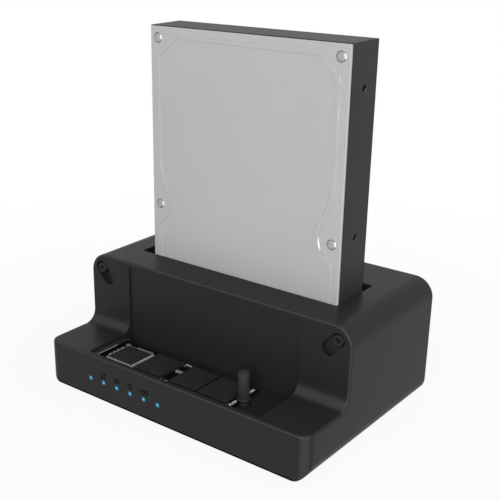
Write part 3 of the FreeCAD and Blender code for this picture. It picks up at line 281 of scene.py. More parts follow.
def pressed_painted_glints(name, base, tone, aim=5, reach=(0.91, 0.97), zones=False):
    """Pressed steel sheet under silver satin lacquer. The slopes of its beads carry painted light: a painted
    highlight where they face the aim, in degrees up from the right, within reach of it, and painted shade
    elsewhere. zones keeps the painted highlight to the runs of the cover's bead that the light reaches."""
    material = finish(name, base, tone, (0.42, 0.50), 0.35, (4.0, 4.0, 0.12), height=0.002, patch=60,
                      spread=0.5, level=0.3)
    tree = material.node_tree
    shader = next(n for n in tree.nodes if n.type == "BSDF_PRINCIPLED")
    shade = shader.inputs["Base Color"].links[0].from_socket
    true = add(tree, "ShaderNodeNewGeometry").outputs["True Normal"]
    flat = add(tree, "ShaderNodeVectorMath", {"operation": "MULTIPLY"}, {0: true, 1: (1, 0, 1)}).outputs[0]
    tilt = add(tree, "ShaderNodeVectorMath", {"operation": "LENGTH"}, {0: flat}).outputs["Value"]
    facing = add(tree, "ShaderNodeVectorMath", {"operation": "NORMALIZE"}, {0: flat}).outputs[0]
    toward = (math.cos(math.radians(aim)), 0, math.sin(math.radians(aim)))
    along = add(tree, "ShaderNodeVectorMath", {"operation": "DOT_PRODUCT"},
                {0: facing, 1: toward}).outputs["Value"]
    bright = add(tree, "ShaderNodeMapRange", inputs={0: along, 1: reach[0], 2: reach[1]}).outputs[0]
    if zones:
        # The painted highlight goes on the left run above its lowest bend, and on the right run near its two
        # bends
        place = add(tree, "ShaderNodeTexCoord").outputs["Object"]
        x, _, z = add(tree, "ShaderNodeSeparateXYZ", inputs={0: place}).outputs
        above = add(tree, "ShaderNodeMapRange", inputs={0: z, 1: 70 * MM, 2: 75 * MM}).outputs[0]
        dim = add(tree, "ShaderNodeMath", {"operation": "GREATER_THAN"}, {0: x, 1: 0.0}).outputs[0]
        for start, end, low, high in ((83, 87, 0.0, 1.0), (112, 130, 1.0, 0.0)):
            part = add(tree, "ShaderNodeMapRange",
                       inputs={0: z, 1: start * MM, 2: end * MM, 3: low, 4: high}).outputs[0]
            dim = add(tree, "ShaderNodeMath", {"operation": "MULTIPLY"}, {0: dim, 1: part}).outputs[0]
        kept = add(tree, "ShaderNodeMath", {"operation": "SUBTRACT", "use_clamp": True},
                   {0: above, 1: dim}).outputs[0]
        bright = add(tree, "ShaderNodeMath", {"operation": "MULTIPLY"}, {0: bright, 1: kept}).outputs[0]
    slope = add(tree, "ShaderNodeMapRange", inputs={0: tilt, 1: 0.12, 2: 0.2}).outputs[0]
    wall = add(tree, "ShaderNodeMapRange", inputs={0: tilt, 1: 0.67, 2: 0.70, 3: 1.0, 4: 0.0}).outputs[0]
    share = add(tree, "ShaderNodeMath", {"operation": "MULTIPLY"}, {0: slope, 1: wall}).outputs[0]
    # Painted highlight (#fbfbfb) on slopes facing the aim, painted shade (#8e8e8e) on the other slopes
    edge = add(tree, "ShaderNodeMix", {"data_type": "RGBA"},
               {"Factor": bright, 6: linear("#8e8e8e"), 7: linear("#fbfbfb")}).outputs[2]
    shade = add(tree, "ShaderNodeMix", {"data_type": "RGBA"}, {"Factor": share, 6: shade, 7: edge}).outputs[2]
    tree.links.new(shade, shader.inputs["Base Color"])
    return material


def board_finish(name, mask, copper, pitch=0.9, run=9.0, level=0.5):
    """Fibreglass circuit board under solder mask: tracks show as slightly paler raised lines,
    and plated holes as small tinned dots. pitch and run, in millimetres, space the tracks."""
    material, tree = new_material(name)
    place = add(tree, "ShaderNodeTexCoord").outputs["Object"]
    tracks = add(tree, "ShaderNodeTexBrick", inputs={
        "Vector": place, "Scale": 1.0, "Mortar Size": 0.16 * MM, "Mortar Smooth": 0.3,
        "Brick Width": run * MM, "Row Height": pitch * MM,
        "Color1": (0, 0, 0, 1), "Color2": (0, 0, 0, 1), "Mortar": (1, 1, 1, 1)}).outputs[0]
    areas = add(tree, "ShaderNodeTexVoronoi",
                inputs={"Vector": place, "Scale": 1 / (7 * MM)}).outputs["Color"]
    share = add(tree, "ShaderNodeMath", {"operation": "GREATER_THAN"}, {0: areas, 1: 0.45}).outputs[0]
    lines = add(tree, "ShaderNodeMath", {"operation": "MULTIPLY"}, {0: tracks, 1: share}).outputs[0]
    dots = add(tree, "ShaderNodeTexVoronoi", inputs={"Vector": place, "Scale": 1 / (2.6 * MM)}).outputs[0]
    hole = add(tree, "ShaderNodeMath", {"operation": "LESS_THAN"}, {0: dots, 1: 0.11}).outputs[0]
    shade = add(tree, "ShaderNodeMix", {"data_type": "RGBA"},
                {"Factor": lines, 6: linear(mask), 7: linear(copper)}).outputs[2]
    shade = add(tree, "ShaderNodeMix", {"data_type": "RGBA"},
                {"Factor": hole, 6: shade, 7: linear("#a9a48c")}).outputs[2]
    bump = add(tree, "ShaderNodeBump", inputs={"Height": lines, "Distance": 0.04 * MM}).outputs[0]
    shader = add(tree, "ShaderNodeBsdfPrincipled", inputs={
        "Base Color": shade, "Roughness": 0.34, "Normal": bump, "Metallic": hole,
        "Specular IOR Level": level}).outputs[0]
    add(tree, "ShaderNodeOutputMaterial", inputs={"Surface": shader})
    return material


def glow_finish(name, rim, middle, strength):
    """Clear acrylic light guide lit from behind: a pale middle in a saturated rim."""
    material, tree = new_material(name)
    reach = add(tree, "ShaderNodeAttribute", {"attribute_name": "reach"}).outputs["Fac"]
    share = add(tree, "ShaderNodeMapRange", inputs={0: reach, 1: 0.25, 2: 0.95}).outputs[0]
    shade = add(tree, "ShaderNodeMix", {"data_type": "RGBA"},
                {"Factor": share, 6: linear(middle), 7: tuple(rim) + (1.0,)}).outputs[2]
    shader = add(tree, "ShaderNodeBsdfPrincipled", inputs={
        "Base Color": linear("#061016"), "Roughness": 0.3, "Emission Color": shade,
        "Emission Strength": strength, "Specular IOR Level": 0.15}).outputs[0]
    add(tree, "ShaderNodeOutputMaterial", inputs={"Surface": shader})
    return material


def seen_rays(tree):
    """One for rays that show the stage itself, straight, mirrored or through glass, zero for its light."""
    ray = add(tree, "ShaderNodeLightPath").outputs
    seen = ray["Is Camera Ray"]
    for kind in ("Is Glossy Ray", "Is Transmission Ray"):
        seen = add(tree, "ShaderNodeMath", {"operation": "MAXIMUM"}, {0: seen, 1: ray[kind]}).outputs[0]
    return seen


def stage_finish(name, shade):
    """Matt paper sweep: white where it is seen, with the object's faint shadow on it nearby."""
    material, tree = new_material(name)
    seen = seen_rays(tree)
    paper = add(tree, "ShaderNodeBsdfPrincipled", inputs={
        "Base Color": tuple(shade) + (1.0,), "Roughness": 0.9, "Specular IOR Level": 0.0}).outputs[0]
    lit = add(tree, "ShaderNodeEmission", inputs={"Color": (1, 1, 1, 1), "Strength": 1.0}).outputs[0]
    place = add(tree, "ShaderNodeTexCoord").outputs["Object"]
    away = add(tree, "ShaderNodeVectorMath", {"operation": "LENGTH"}, {0: place}).outputs["Value"]
    clear = add(tree, "ShaderNodeMapRange", inputs={0: away, 1: 0.10, 2: 0.34, 3: 0.92, 4: 1.0}).outputs[0]
    share = add(tree, "ShaderNodeMath", {"operation": "MULTIPLY"}, {0: seen, 1: clear}).outputs[0]
    both = add(tree, "ShaderNodeMixShader", inputs={0: share, 1: paper, 2: lit}).outputs[0]
    add(tree, "ShaderNodeOutputMaterial", inputs={"Surface": both})
    return material


def hex_of(values):
    """A linear colour from a panel setting back as the sRGB hex that the finishes take."""
    parts = [v * 12.92 if v <= 0.0031308 else 1.055 * v ** (1 / 2.4) - 0.055 for v in values]
    return "#" + "".join("%02x" % max(0, min(255, round(p * 255))) for p in parts)


def make_finishes(colours):
    """Every finish of the object, by the name of the record's material slot."""
    housing = hex_of(colours.housing)
    cover = hex_of(colours.cover)
    casting = hex_of(colours.casting)
    return {
        # Spark-eroded mould texture on ABS: soft broken sheen, painted edge highlights, painted shade in the
        # recess and at the foot
        "housing_plastic": painted_foot_shadow(painted_edge_light_and_shade(
            finish("abs_moulded_charcoal", housing, "#242424", (0.38, 0.50), 0.45, height=0.012, patch=40,
                   spread=0.5, level=0.13), tone="#363636", dull="#0c0c0c"), height=0.7 * MM),
        # Plain moulded ABS under the dock: darker, slightly shinier than the housing
        "base_plastic": finish("abs_moulded_black", "#1c1c1c", "#202020", (0.36, 0.50), 0.6, height=0.01,
                               level=0.2),
        # Die-cut rubber: dull, dusty, no clear highlight
        "foot_rubber": finish("rubber_die_cut", "#161616", "#202020", (0.75, 0.9), 0.5, height=0.03,
                              ior=1.52),
        # Moulded silicone rubber: matt with a soft wide sheen
        "plug_rubber": finish("silicone_moulded", "#2a2a2a", "#303030", (0.5, 0.62), 0.4, height=0.01,
                              ior=1.43, level=0.2),
        # Zinc plated steel: bright with a cloudy passivated tone
        "screw_steel": finish("steel_zinc_plated", "#b9babc", "#a2a3a5", (0.22, 0.38), 0.3, metal=1,
                              height=0.004),
        # Zinc plated screw under clear lacquer: the tone of the cover, with a painted glint on its rounded
        # rim
        "cover_screw": pressed_painted_glints("steel_zinc_lacquered", "#b2b2b2", "#a8a8a8", 12, (0.80, 0.92)),
        # Black oxide steel: dark, oily sheen
        "black_screw": finish("steel_black_oxide", "#2a2a2b", "#3a3a3b", (0.3, 0.5), 0.3, metal=1,
                              height=0.006),
        # Green solder mask over copper tracks
        "circuit_board": board_finish("fibreglass_green_mask", "#0f4a2a", "#1c6b3c"),
        # Blue-green solder mask of the hard drive's board
        "drive_circuit_board": board_finish("fibreglass_blue_green_mask", "#0d3c4a", "#1a5a66", 1.1, 14.0),
        # Black solder mask of the card: tracks barely show
        "ssd_circuit_board": board_finish("fibreglass_black_mask", "#0b0b0b", "#101010", 0.7, 6.0, 0.08),
        # Moulded epoxy of chips: very fine sandy matt black
        "chip_epoxy": finish("epoxy_moulded", "#1f1f1f", "#242424", (0.5, 0.62), 0.25, height=0.008, patch=9,
                             level=0.2),
        # Pressed ferrite: dull grey, slightly granular
        "coil_ferrite": finish("ferrite_pressed", "#39393b", "#454548", (0.6, 0.75), 0.3, height=0.02),
        # Drawn aluminium can: bright with fine vertical draw marks
        "can_aluminium": finish("aluminium_drawn", "#d0d1d2", "#bfc0c2", (0.18, 0.3), 0.2, (1, 1, 0.1),
                                metal=1),
        # White resin of a surface-mount lamp
        "led_body": finish("resin_white", "#e4e6e8", "#d8dadc", (0.3, 0.4), 0.5),
        # Glass-filled black nylon of connectors: slightly streaky and dull
        "connector_plastic": finish("nylon_glass_filled", "#1b1b1c", "#262627", (0.45, 0.6), 0.35,
                                    (1, 1, 0.4), height=0.01),
        # Stamped nickel-plated steel shell
        "connector_steel": finish("steel_nickel_plated", "#c9c6bf", "#b8b5ae", (0.16, 0.28), 0.4, metal=1),
        # Fired ceramic of the small parts: warm and dull
        "part_ceramic": finish("ceramic_fired", "#8c816a", "#6a604e", (0.5, 0.6), 0.6, spread=0.6),
        # Stamped tin-plated steel: pale with a satin bloom
        "frame_steel": finish("steel_tin_plated", "#bcbdbe", "#a8a9aa", (0.4, 0.55), 0.3, metal=0.25),
        # Turned brass hexagon: warm with faint turning lines
        "post_brass": finish("brass_turned", "#b5964f", "#c4a763", (0.2, 0.35), 0.2, (1, 1, 6), metal=1),
        # Pressed sheet under a silver satin lacquer: an even pale grey, with painted glints and painted shade
        # on its pressed edges
        "drive_cover_steel": pressed_painted_glints("steel_pressed_silver_lacquer", cover, "#b2b2b2", zones=True),
        # Painted shadow line at the foot of a pressed edge
        "press_line": finish("lacquer_painted_shadow_line", "#848484", "#8c8c8c", (0.6, 0.7), 0.4, level=0.2),
        # Painted highlight on a pressed edge: almost white
        "press_glint": finish("lacquer_painted_glint", "#fbfbfb", "#f6f6f6", (0.3, 0.4), 0.4, level=0.5),
        # Deep shadow in a thread, a seam or under a rim: next to no sheen
        "deep_line": finish("seam_shadow_matt", "#060606", "#090909", (0.7, 0.8), 0.5, level=0.0),
        # Painted highlight on the rim of a moulded pocket: a paler tone with some sheen
        "rim_painted_highlight": finish("abs_painted_rim_highlight", "#4c4c4c", "#545454", (0.3, 0.4), 0.4, level=0.3),
        # Bare cut wall of a threaded hole: a dull grey inside the dark casting
        "cut_metal": finish("aluminium_cut_bare", "#4a4a4a", "#565656", (0.5, 0.6), 0.3, level=0.3),
        # Die-cast aluminium under dark coating: faint orange-peel, edges worn to metal
        "drive_base_casting": finish("aluminium_cast_coated", casting, "#2f2f2f", (0.42, 0.58), 0.8,
                                     height=0.02, patch=30, level=0.15),
        # Drawn steel motor cap: satin, with turning marks
        "motor_steel": finish("steel_drawn_satin", "#b9babc", "#a5a6a8", (0.25, 0.4), 0.25, metal=1),
        # Pad-printed ink, a little darker than the housing it sits on
        "print_ink": finish("ink_pad_printed", "#060606", "#0a0a0a", (0.6, 0.7), 0.3, level=0.03),
        # Hard gold over nickel on contacts: warm and bright
        "contact_gold": finish("gold_plated", "#d9b25a", "#c9a04a", (0.18, 0.28), 0.3, metal=1),
        # Tinned ends of small ceramic parts
        "tinned_end": finish("tin_reflowed", "#b4b1a6", "#989488", (0.35, 0.5), 0.2, metal=0.2),
        # Tin on the pads at the card's free end, near white: painted reflection
        "painted_reflection_pad": finish("tin_painted_reflection", "#f6f6f4", "#ececea", (0.35, 0.5), 0.2),
        # White legend ink on boards
        "legend_ink": finish("ink_legend_white", "#c8cac8", "#b6b8b6", (0.6, 0.7), 0.3),
        "light_pipe": glow_finish("acrylic_lit", colours.light, "#5cc8ea", 1.0),
    }


FINISH = {}


# Making pieces


def keep(name, mesh, material, body):
    """Shows a finished mesh as a piece that rides on a body and takes a slot's finish."""
    piece = bpy.data.objects.new(name, mesh)
    bpy.context.scene.collection.objects.link(piece)
    mesh.materials.clear()
    mesh.materials.append(FINISH[material])
    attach(piece, body)
    return piece


def mesh_of(name, shape, smooth=None):
    """Closes a bmesh into a mesh, its faces outwards; smooth is the sharpest angle still shaded round."""
    bmesh.ops.remove_doubles(shape, verts=shape.verts, dist=1e-7)
    bmesh.ops.recalc_face_normals(shape, faces=shape.faces)
    mesh = bpy.data.meshes.new(name)
    shape.to_mesh(mesh)
    shape.free()
    if smooth:
        mesh.shade_smooth()
        mesh.set_sharp_from_angle(angle=math.radians(smooth))
    return mesh


def lathe(shape, profile, sides, place=Matrix(), waves=None):
    """Turns (radius, height) points about Z into a closed skin; waves gives a radius its lobes."""
    rings = []
    for number, (radius, height) in enumerate(profile):
        if radius == 0:
            rings.append([shape.verts.new(place @ Vector((0, 0, height)))])
            continue
        ring = []
        for i in range(sides):
            a = 2 * math.pi * i / sides
            r = radius * (waves(number, a) if waves else 1)
            ring.append(shape.verts.new(place @ Vector((r * math.cos(a), r * math.sin(a), height))))
        rings.append(ring)
    for low, high in zip(rings, rings[1:]):
        for i in range(sides):
            j = (i + 1) % sides
            face = [low[i % len(low)], low[j % len(low)], high[j % len(high)], high[i % len(high)]]
            face = [v for k, v in enumerate(face) if v not in face[:k]]
            if len(face) > 2:
                shape.faces.new(face)


def sector(shape, place, inner, outer, start, end):
    """A flat part of a ring in the plane of place, between two angles in degrees, thinner at its ends."""
    steps = max(2, math.ceil((end - start) / 3))
    rows = []
    for i in range(steps + 1):
        a = math.radians(start + (end - start) * i / steps)
        share = 0.3 + 0.7 * min(1.0, min(i, steps - i) / (steps * 0.25))
        rows.append([shape.verts.new(place @ Vector((r * math.cos(a), r * math.sin(a), 0)))
                     for r in (outer - (outer - inner) * share, outer)])
    for low, high in zip(rows, rows[1:]):
        shape.faces.new([low[0], low[1], high[1], high[0]])


def sheet(name, shape):
    """Closes flat faces into a thin film that keeps the side they face and reaches into the surface."""
    bmesh.ops.remove_doubles(shape, verts=shape.verts, dist=1e-7)
    shape.normal_update()
    for v in shape.verts:
        v.co -= v.normal * FILM
    bmesh.ops.solidify(shape, geom=shape.faces[:], thickness=FILM)
    mesh = bpy.data.meshes.new(name)
    shape.to_mesh(mesh)
    shape.free()
    return mesh


def slab(shape, low, high, bevel=0.0):
    """A flat block with its upper edges eased, standing on low."""
    x0, y0, z0 = low
    x1, y1, z1 = high
    levels = [(0, z0), (0, z1 - bevel), (bevel, z1)] if bevel else [(0, z0), (0, z1)]
    rings = []
    for inset, z in levels:
        left, right, front, back = x0 + inset, x1 - inset, y0 + inset, y1 - inset
        corners = ((left, front), (right, front), (right, back), (left, back))
        rings.append([shape.verts.new((x, y, z)) for x, y in corners])
    shape.faces.new(rings[0][::-1])
    shape.faces.new(rings[-1])
    for low_ring, high_ring in zip(rings, rings[1:]):
        for i in range(4):
            j = (i + 1) % 4
            shape.faces.new([low_ring[i], low_ring[j], high_ring[j], high_ring[i]])


def copies_tree(name, row):
    """Geometry Nodes tree that sets copies of one part on points, or along a row of Count points
    that are Step apart, each with a random turn about Axis of up to Turn."""
    tree = bpy.data.node_groups.new(name, "GeometryNodeTree")
    sockets = [("Geometry", "Geometry"), ("Part", "Object"), ("Material", "Material"), ("Axis", "Vector"),
               ("Turn", "Float"), ("Seed", "Int")]
    if row:
        sockets += [("Count", "Int"), ("Start", "Vector"), ("Step", "Vector")]
    for title, kind in sockets:
        tree.interface.new_socket(title, in_out="INPUT", socket_type="NodeSocket" + kind)
    tree.interface.new_socket("Geometry", in_out="OUTPUT", socket_type="NodeSocketGeometry")
    given = add(tree, "NodeGroupInput").outputs
    points = given["Geometry"]
    if row:
        points = add(tree, "GeometryNodeMeshLine", inputs={
            "Count": given["Count"], "Start Location": given["Start"], "Offset": given["Step"]}).outputs[0]
    part = add(tree, "GeometryNodeObjectInfo", inputs={"Object": given["Part"]}).outputs["Geometry"]
    turn = add(tree, "FunctionNodeRandomValue", {"data_type": "FLOAT"},
               {2: 0.0, 3: given["Turn"], "Seed": given["Seed"]}).outputs[1]
    spin = add(tree, "ShaderNodeVectorMath", {"operation": "SCALE"},
               {0: given["Axis"], "Scale": turn}).outputs[0]
    made = add(tree, "GeometryNodeInstanceOnPoints",
               inputs={"Points": points, "Instance": part, "Rotation": spin}).outputs[0]
    made = add(tree, "GeometryNodeRealizeInstances", inputs={0: made}).outputs[0]
    made = add(tree, "GeometryNodeSetMaterial",
               inputs={"Geometry": made, "Material": given["Material"]}).outputs[0]
    add(tree, "NodeGroupOutput", inputs={0: made})
    return tree


def tree_named(name, row=False):
    return bpy.data.node_groups.get(name) or copies_tree(name, row)


def grow(name, tree, part, points, material, body, slot, **values):
    """Runs a tree on points and keeps the result as one plain piece."""
    part_object = bpy.data.objects.new("part", part)
    bpy.context.scene.collection.objects.link(part_object)
    mesh = bpy.data.meshes.new(name)
    mesh.from_pydata([tuple(p) for p in points], [], [])
    holder = bpy.data.objects.new(name, mesh)
    bpy.context.scene.collection.objects.link(holder)
    modifier = holder.modifiers.new("copies", "NODES")
    modifier.node_group = tree
    values.update(Part=part_object, Material=FINISH[material])
    for item in tree.interface.items_tree:
        if item.in_out == "INPUT" and item.name in values:
            modifier[item.identifier] = values[item.name]
    graph = bpy.context.evaluated_depsgraph_get()
    plain = bpy.data.meshes.new_from_object(holder.evaluated_get(graph), depsgraph=graph)
    holder.modifiers.clear()
    bpy.data.objects.remove(holder)
    bpy.data.objects.remove(part_object)
    return keep(name, plain, material, body)


# Height of a figure as a share of its font's size
FIGURE_SHARE = 0.7


def words(text, height, place):
    """Flat printed characters as a mesh, a little bold, their middle at place."""
    curve = bpy.data.curves.new("words", "FONT")
    curve.body = text
    curve.size = height / FIGURE_SHARE
    curve.offset = height * 0.035
    curve.align_x = "CENTER"
    curve.align_y = "CENTER"
    holder = bpy.data.objects.new("words", curve)
    bpy.context.scene.collection.objects.link(holder)
    graph = bpy.context.evaluated_depsgraph_get()
    mesh = bpy.data.meshes.new_from_object(holder.evaluated_get(graph), depsgraph=graph)
    bpy.data.objects.remove(holder)
    mesh.transform(place)
    return mesh


def merged(name, meshes):
    shape = bmesh.new()
    for mesh in meshes:
        shape.from_mesh(mesh)
    made = bpy.data.meshes.new(name)
    shape.to_mesh(made)
    shape.free()
    return made


# Operators


class DUPLICATOR_OT_finishes(bpy.types.Operator):
    """Gives every node of the solid model the finish of its real material"""
    bl_idname = "duplicator.finishes"
    bl_label = "Finishes"

    def execute(self, context):
        FINISH.update(make_finishes(context.scene.duplicator_colours))
        slots = {row["node"]: row["material_slot"] for row in frame["record"]["subparts"]}
        for name, node in frame["nodes"].items():
            material = FINISH[slots[name]]
            if not node.material_slots:
                node.data.materials.append(material)
            for slot in node.material_slots:
                slot.material = material
        return {"FINISHED"}


class DUPLICATOR_OT_lights(bpy.types.Operator):
    """Makes the row of lit lenses and the figures printed above them"""
    bl_idname = "duplicator.lights"
    bl_label = "Lights"

    def execute(self, context):
        sizes = context.scene.duplicator_lights
        radius = sizes.radius
        first = Vector((LIGHT_LOW.x + radius, LIGHT_LOW.y, (LIGHT_LOW.z + LIGHT_HIGH.z) / 2))
        step = (LIGHT_HIGH.x - LIGHT_LOW.x - radius * 2) / (sizes.lights - 1)
        bulge = LIGHT_LOW.y - SHELL_LOW.y
        deep = LIGHT_HIGH.y - LIGHT_LOW.y
        face_forward = Matrix.Rotation(math.radians(90), 4, "X")
        shape = bmesh.new()
        profile = [(0, -deep), (radius, -deep), (radius, -0.1 * MM)]
        # The halo ring on the housing face glows with the rim colour: painted spill of light
        profile += [(sizes.halo, bulge), (sizes.halo, bulge + LIFT), (radius * 1.02, bulge + LIFT)]
        profile += [(radius * f, bulge * (1 - f * f)) for f in (0.98, 0.85, 0.65, 0.4, 0.2)] + [(0, bulge)]
        lathe(shape, profile, 24, face_forward)
        lens = mesh_of("lens", shape, 50)
        reach = lens.attributes.new("reach", "FLOAT", "POINT")
        for v in lens.vertices:
            reach.data[v.index].value = min(1, math.hypot(v.co.x, v.co.z) / radius)
        lenses = grow("light_lenses", tree_named("lens_row", True), lens, [(0, 0, 0)], "light_pipe", "dock",
                      "light_pipe", Count=sizes.lights, Start=first, Step=(step, 0, 0))
        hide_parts("light_pipes")
        marks = []
        rise = first.z + sizes.print_rise
        for number, text in enumerate(("25", "50", "75", "100"), 1):
            place = Matrix.Translation((first.x + step * number, SHELL_LOW.y - LIFT, rise))
            marks.append(words(text, sizes.print_height, place @ face_forward))
        marks.append(self.card_sign(first.x, rise, sizes.print_height))
        marks.append(self.disc_sign(first.x + step * (sizes.lights - 1), rise, sizes.print_height))
        keep("light_figures", merged("light_figures", marks), "print_ink", "dock")
        return {"FINISHED"}

    def bars(self, x, z, boxes):
        """Flat printed bars, each given by its left, lower, right and upper edge from the sign's middle."""
        shape = bmesh.new()
        y = SHELL_LOW.y - LIFT
        for x0, z0, x1, z1 in boxes:
            ring = ((x0, z0), (x1, z0), (x1, z1), (x0, z1))
            shape.faces.new([shape.verts.new((x + a, y, z + b)) for a, b in ring])
        return shape

    def card_sign(self, x, z, height):
        """The outline of a small flat card with a chip on it."""
        w, h, t = height * 0.85, height * 0.42, height * 0.14
        return sheet("card_sign", self.bars(x, z, [
            (-w, -h, w, t - h), (-w, h - t, w, h), (-w, t - h, t - w, h - t), (w - t, t - h, w, h - t),
            (-w * 0.5, -h * 0.3, w * 0.1, h * 0.3)]))

    def disc_sign(self, x, z, height):
        """A ring with a dot in it between two bars."""
        t = height * 0.15
        near, far = height * 0.65, height * 1.15
        shape = self.bars(x, z, [(-far, -t, -near, t), (near, -t, far, t)])
        sides = 24
        angles = [math.tau * i / sides for i in range(sides)]
        outer, inner, dot = [
            [shape.verts.new((x + height * r * math.cos(a), SHELL_LOW.y - LIFT, z + height * r * math.sin(a)))
             for a in angles] for r in (0.5, 0.33, 0.17)]
        for i in range(sides):
            j = (i + 1) % sides
            shape.faces.new([outer[i], outer[j], inner[j], inner[i]])
        shape.faces.new(dot)
        return sheet("disc_sign", shape)


def head(radius, height, recess, depth, lobes, rim):
    """Screw head about Z with a lobed driver recess: 6 lobes for a star, 4 for a cross. rim gives the
    height of the side, then the radius and height of the face's edge, as shares of the head's."""
    star = radius * recess
    recess_rings = (5, 6, 7)

    def waves(ring, angle):
        if ring not in recess_rings:
            return 1
        if lobes == 4:
            return 0.5 + 0.5 * abs(math.cos(2 * angle)) ** 3
        return 0.88 + 0.12 * math.cos(lobes * angle)

    side, wide, tall = rim
    profile = [(0, 0), (radius, 0), (radius, height * side), (radius * wide, height * tall),
               (radius * (wide - 0.08), height * (tall + 0.02)), (star, height),
               (star * 0.97, height - depth * 0.2), (star * 0.9, height - depth), (0, height - depth * 1.1)]
    shape = bmesh.new()
    lathe(shape, profile, 48, waves=waves)
    return shape


def solid_boxes(node):
    """Lowest and highest corner of each separate solid of a CAD node, found from its triangles."""
    shape = bmesh.new()
    shape.from_mesh(frame["nodes"][node].data)
    bmesh.ops.remove_doubles(shape, verts=shape.verts, dist=1e-6)
    left = set(shape.verts)
    found = []
    while left:
        stack = [left.pop()]
        group = []
        while stack:
            v = stack.pop()
            group.append(v.co.copy())
            for edge in v.link_edges:
                other = edge.other_vert(v)
                if other in left:
                    left.remove(other)
                    stack.append(other)
        found.append(tuple(Vector([end(p[i] for p in group) for i in range(3)]) for end in (min, max)))
    shape.free()
    return sorted(found, key=lambda pair: tuple(round(c, 5) for c in pair[0]))


class DUPLICATOR_OT_screws(bpy.types.Operator):
    """Makes the screws with their star and cross recesses"""
    bl_idname = "duplicator.screws"
    bl_label = "Screws"

    def execute(self, context):
        sizes = context.scene.duplicator_screws
        # height of the side, then radius and height of the face's edge, as shares of the head's
        domed, flat = (0.5, 0.78, 0.96), (0.72, 0.95, 0.9)
        rows = (
            # node, head radius, head height, way the head faces, lobes, rim, material, slot, body
            ("drive_cover_screws", sizes.cover_head, 0.9 * MM, "front", 6, domed, "cover_screw",
             "screw_steel", "drive"),
            ("drive_board_screws", sizes.board_head, 0.75 * MM, "back", 6, flat, "screw_steel",
             "screw_steel", "drive"),
            ("board_screws", sizes.board_head, 1.5 * MM, "up", 4, flat, "screw_steel", "screw_steel", "dock"),
            ("case_screws", sizes.case_head, 1.2 * MM, "down", 4, flat, "black_screw", "black_screw", "dock"),
        )
        # degrees about X, axis along the screw, and the end of the solid's box that its head is at
        ways = {"front": (90, 1, 0), "back": (-90, 1, 1), "up": (0, 2, 1), "down": (180, 2, 0)}
        tree = tree_named("scattered_screws")
        for node, radius, height, way, lobes, rim, material, slot, body in rows:
            turn, along, end = ways[way]
            boxes = solid_boxes(node)
            longest = max((high - low)[along] for low, high in boxes)
            depth = min(sizes.recess_depth, height * 0.6)
            shape = head(radius, height, sizes.recess, depth, lobes, rim)
            lathe(shape, [(0, height - longest), (radius * 0.42, height - longest + radius * 0.1),
                          (radius * 0.48, height * 0.05), (0, height * 0.06)], 16)
            bmesh.ops.rotate(shape, verts=shape.verts, cent=(0, 0, 0),
                             matrix=Matrix.Rotation(math.radians(turn), 3, "X"))
            part = mesh_of("screw", shape, 35)
            points = []
            for box in boxes:
                point = (box[0] + box[1]) / 2
                point[along] = box[end][along] + (-height if end else height)
                points.append(point)
            made = grow(node + "_finished", tree, part, points, material, body, slot,
                        Axis=(0, 1, 0) if along == 1 else (0, 0, 1), Turn=math.tau, Seed=7)
            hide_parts(node)
        return {"FINISHED"}


class DUPLICATOR_OT_plugs(bpy.types.Operator):
    """Makes the rounded rubber plugs with the hexagon hole in their stems"""
    bl_idname = "duplicator.plugs"
    bl_label = "Rubber plugs"

    def execute(self, context):
        sizes = context.scene.duplicator_plugs
        e = sizes.rounding
        foot = -sizes.neck_height - sizes.stem_height
        top = foot + corner("ssd_plug", 1).z - corner("ssd_plug", 0).z
        neck = (sizes.neck, -sizes.neck_height, 0)
        runs = ((sizes.stem, foot, -sizes.neck_height), neck, (sizes.flange, 0, sizes.flange_height),
                (sizes.post, sizes.flange_height, top))
        bore = sizes.bore / 2
        deep = foot + sizes.bore_depth
        profile = [(0, deep), (bore, deep), (bore, foot + e * 0.4), (bore + e * 0.2, foot),
                   (sizes.stem * 0.66, foot), (sizes.stem * 0.7, foot + sizes.groove),
                   (sizes.stem * 0.8, foot + sizes.groove), (sizes.stem * 0.84, foot)]
        for run in runs:
            r, low, high = run
            ease = min(e, (high - low) * 0.3)
            if run is neck:
                profile += [(r, low), (r, high)]
                continue
            profile += [(r - ease, low), (r - ease * 0.3, low + ease * 0.3), (r, low + ease),
                        (r, high - ease), (r - ease * 0.3, high - ease * 0.3), (r - ease, high)]
        profile.append((0, top))
        bore_rings = (0, 1, 2, 3)

        def hexagon(ring, angle):
            if ring not in bore_rings:
                return 1
            part = (angle + math.pi / 6) % (math.pi / 3) - math.pi / 6
            return 1 / math.cos(part)

        for node, body in (("ssd_plug", "ssd"), ("spare_plug_left", "spare_plug_left"),
                           ("spare_plug_right", "spare_plug_right")):
            low, high = corner(node, 0), corner(node, 1)
            middle = (low + high) / 2
            if body == "ssd":
                place = Matrix.Translation((middle.x, middle.y, low.z - foot))
            else:
                lying = Matrix.Rotation(math.radians(-90), 4, "X")
                place = Matrix.Translation((middle.x, low.y - foot, middle.z)) @ lying
            shape = bmesh.new()
            lathe(shape, profile, 48, place, hexagon)
            mesh = mesh_of(node + "_finished", shape, 40)
            made = keep(node + "_finished", mesh, "plug_rubber", body)
            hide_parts(node)
        return {"FINISHED"}


# A contact's eased edge as a share of its thickness
CONTACT_EASE = 0.4


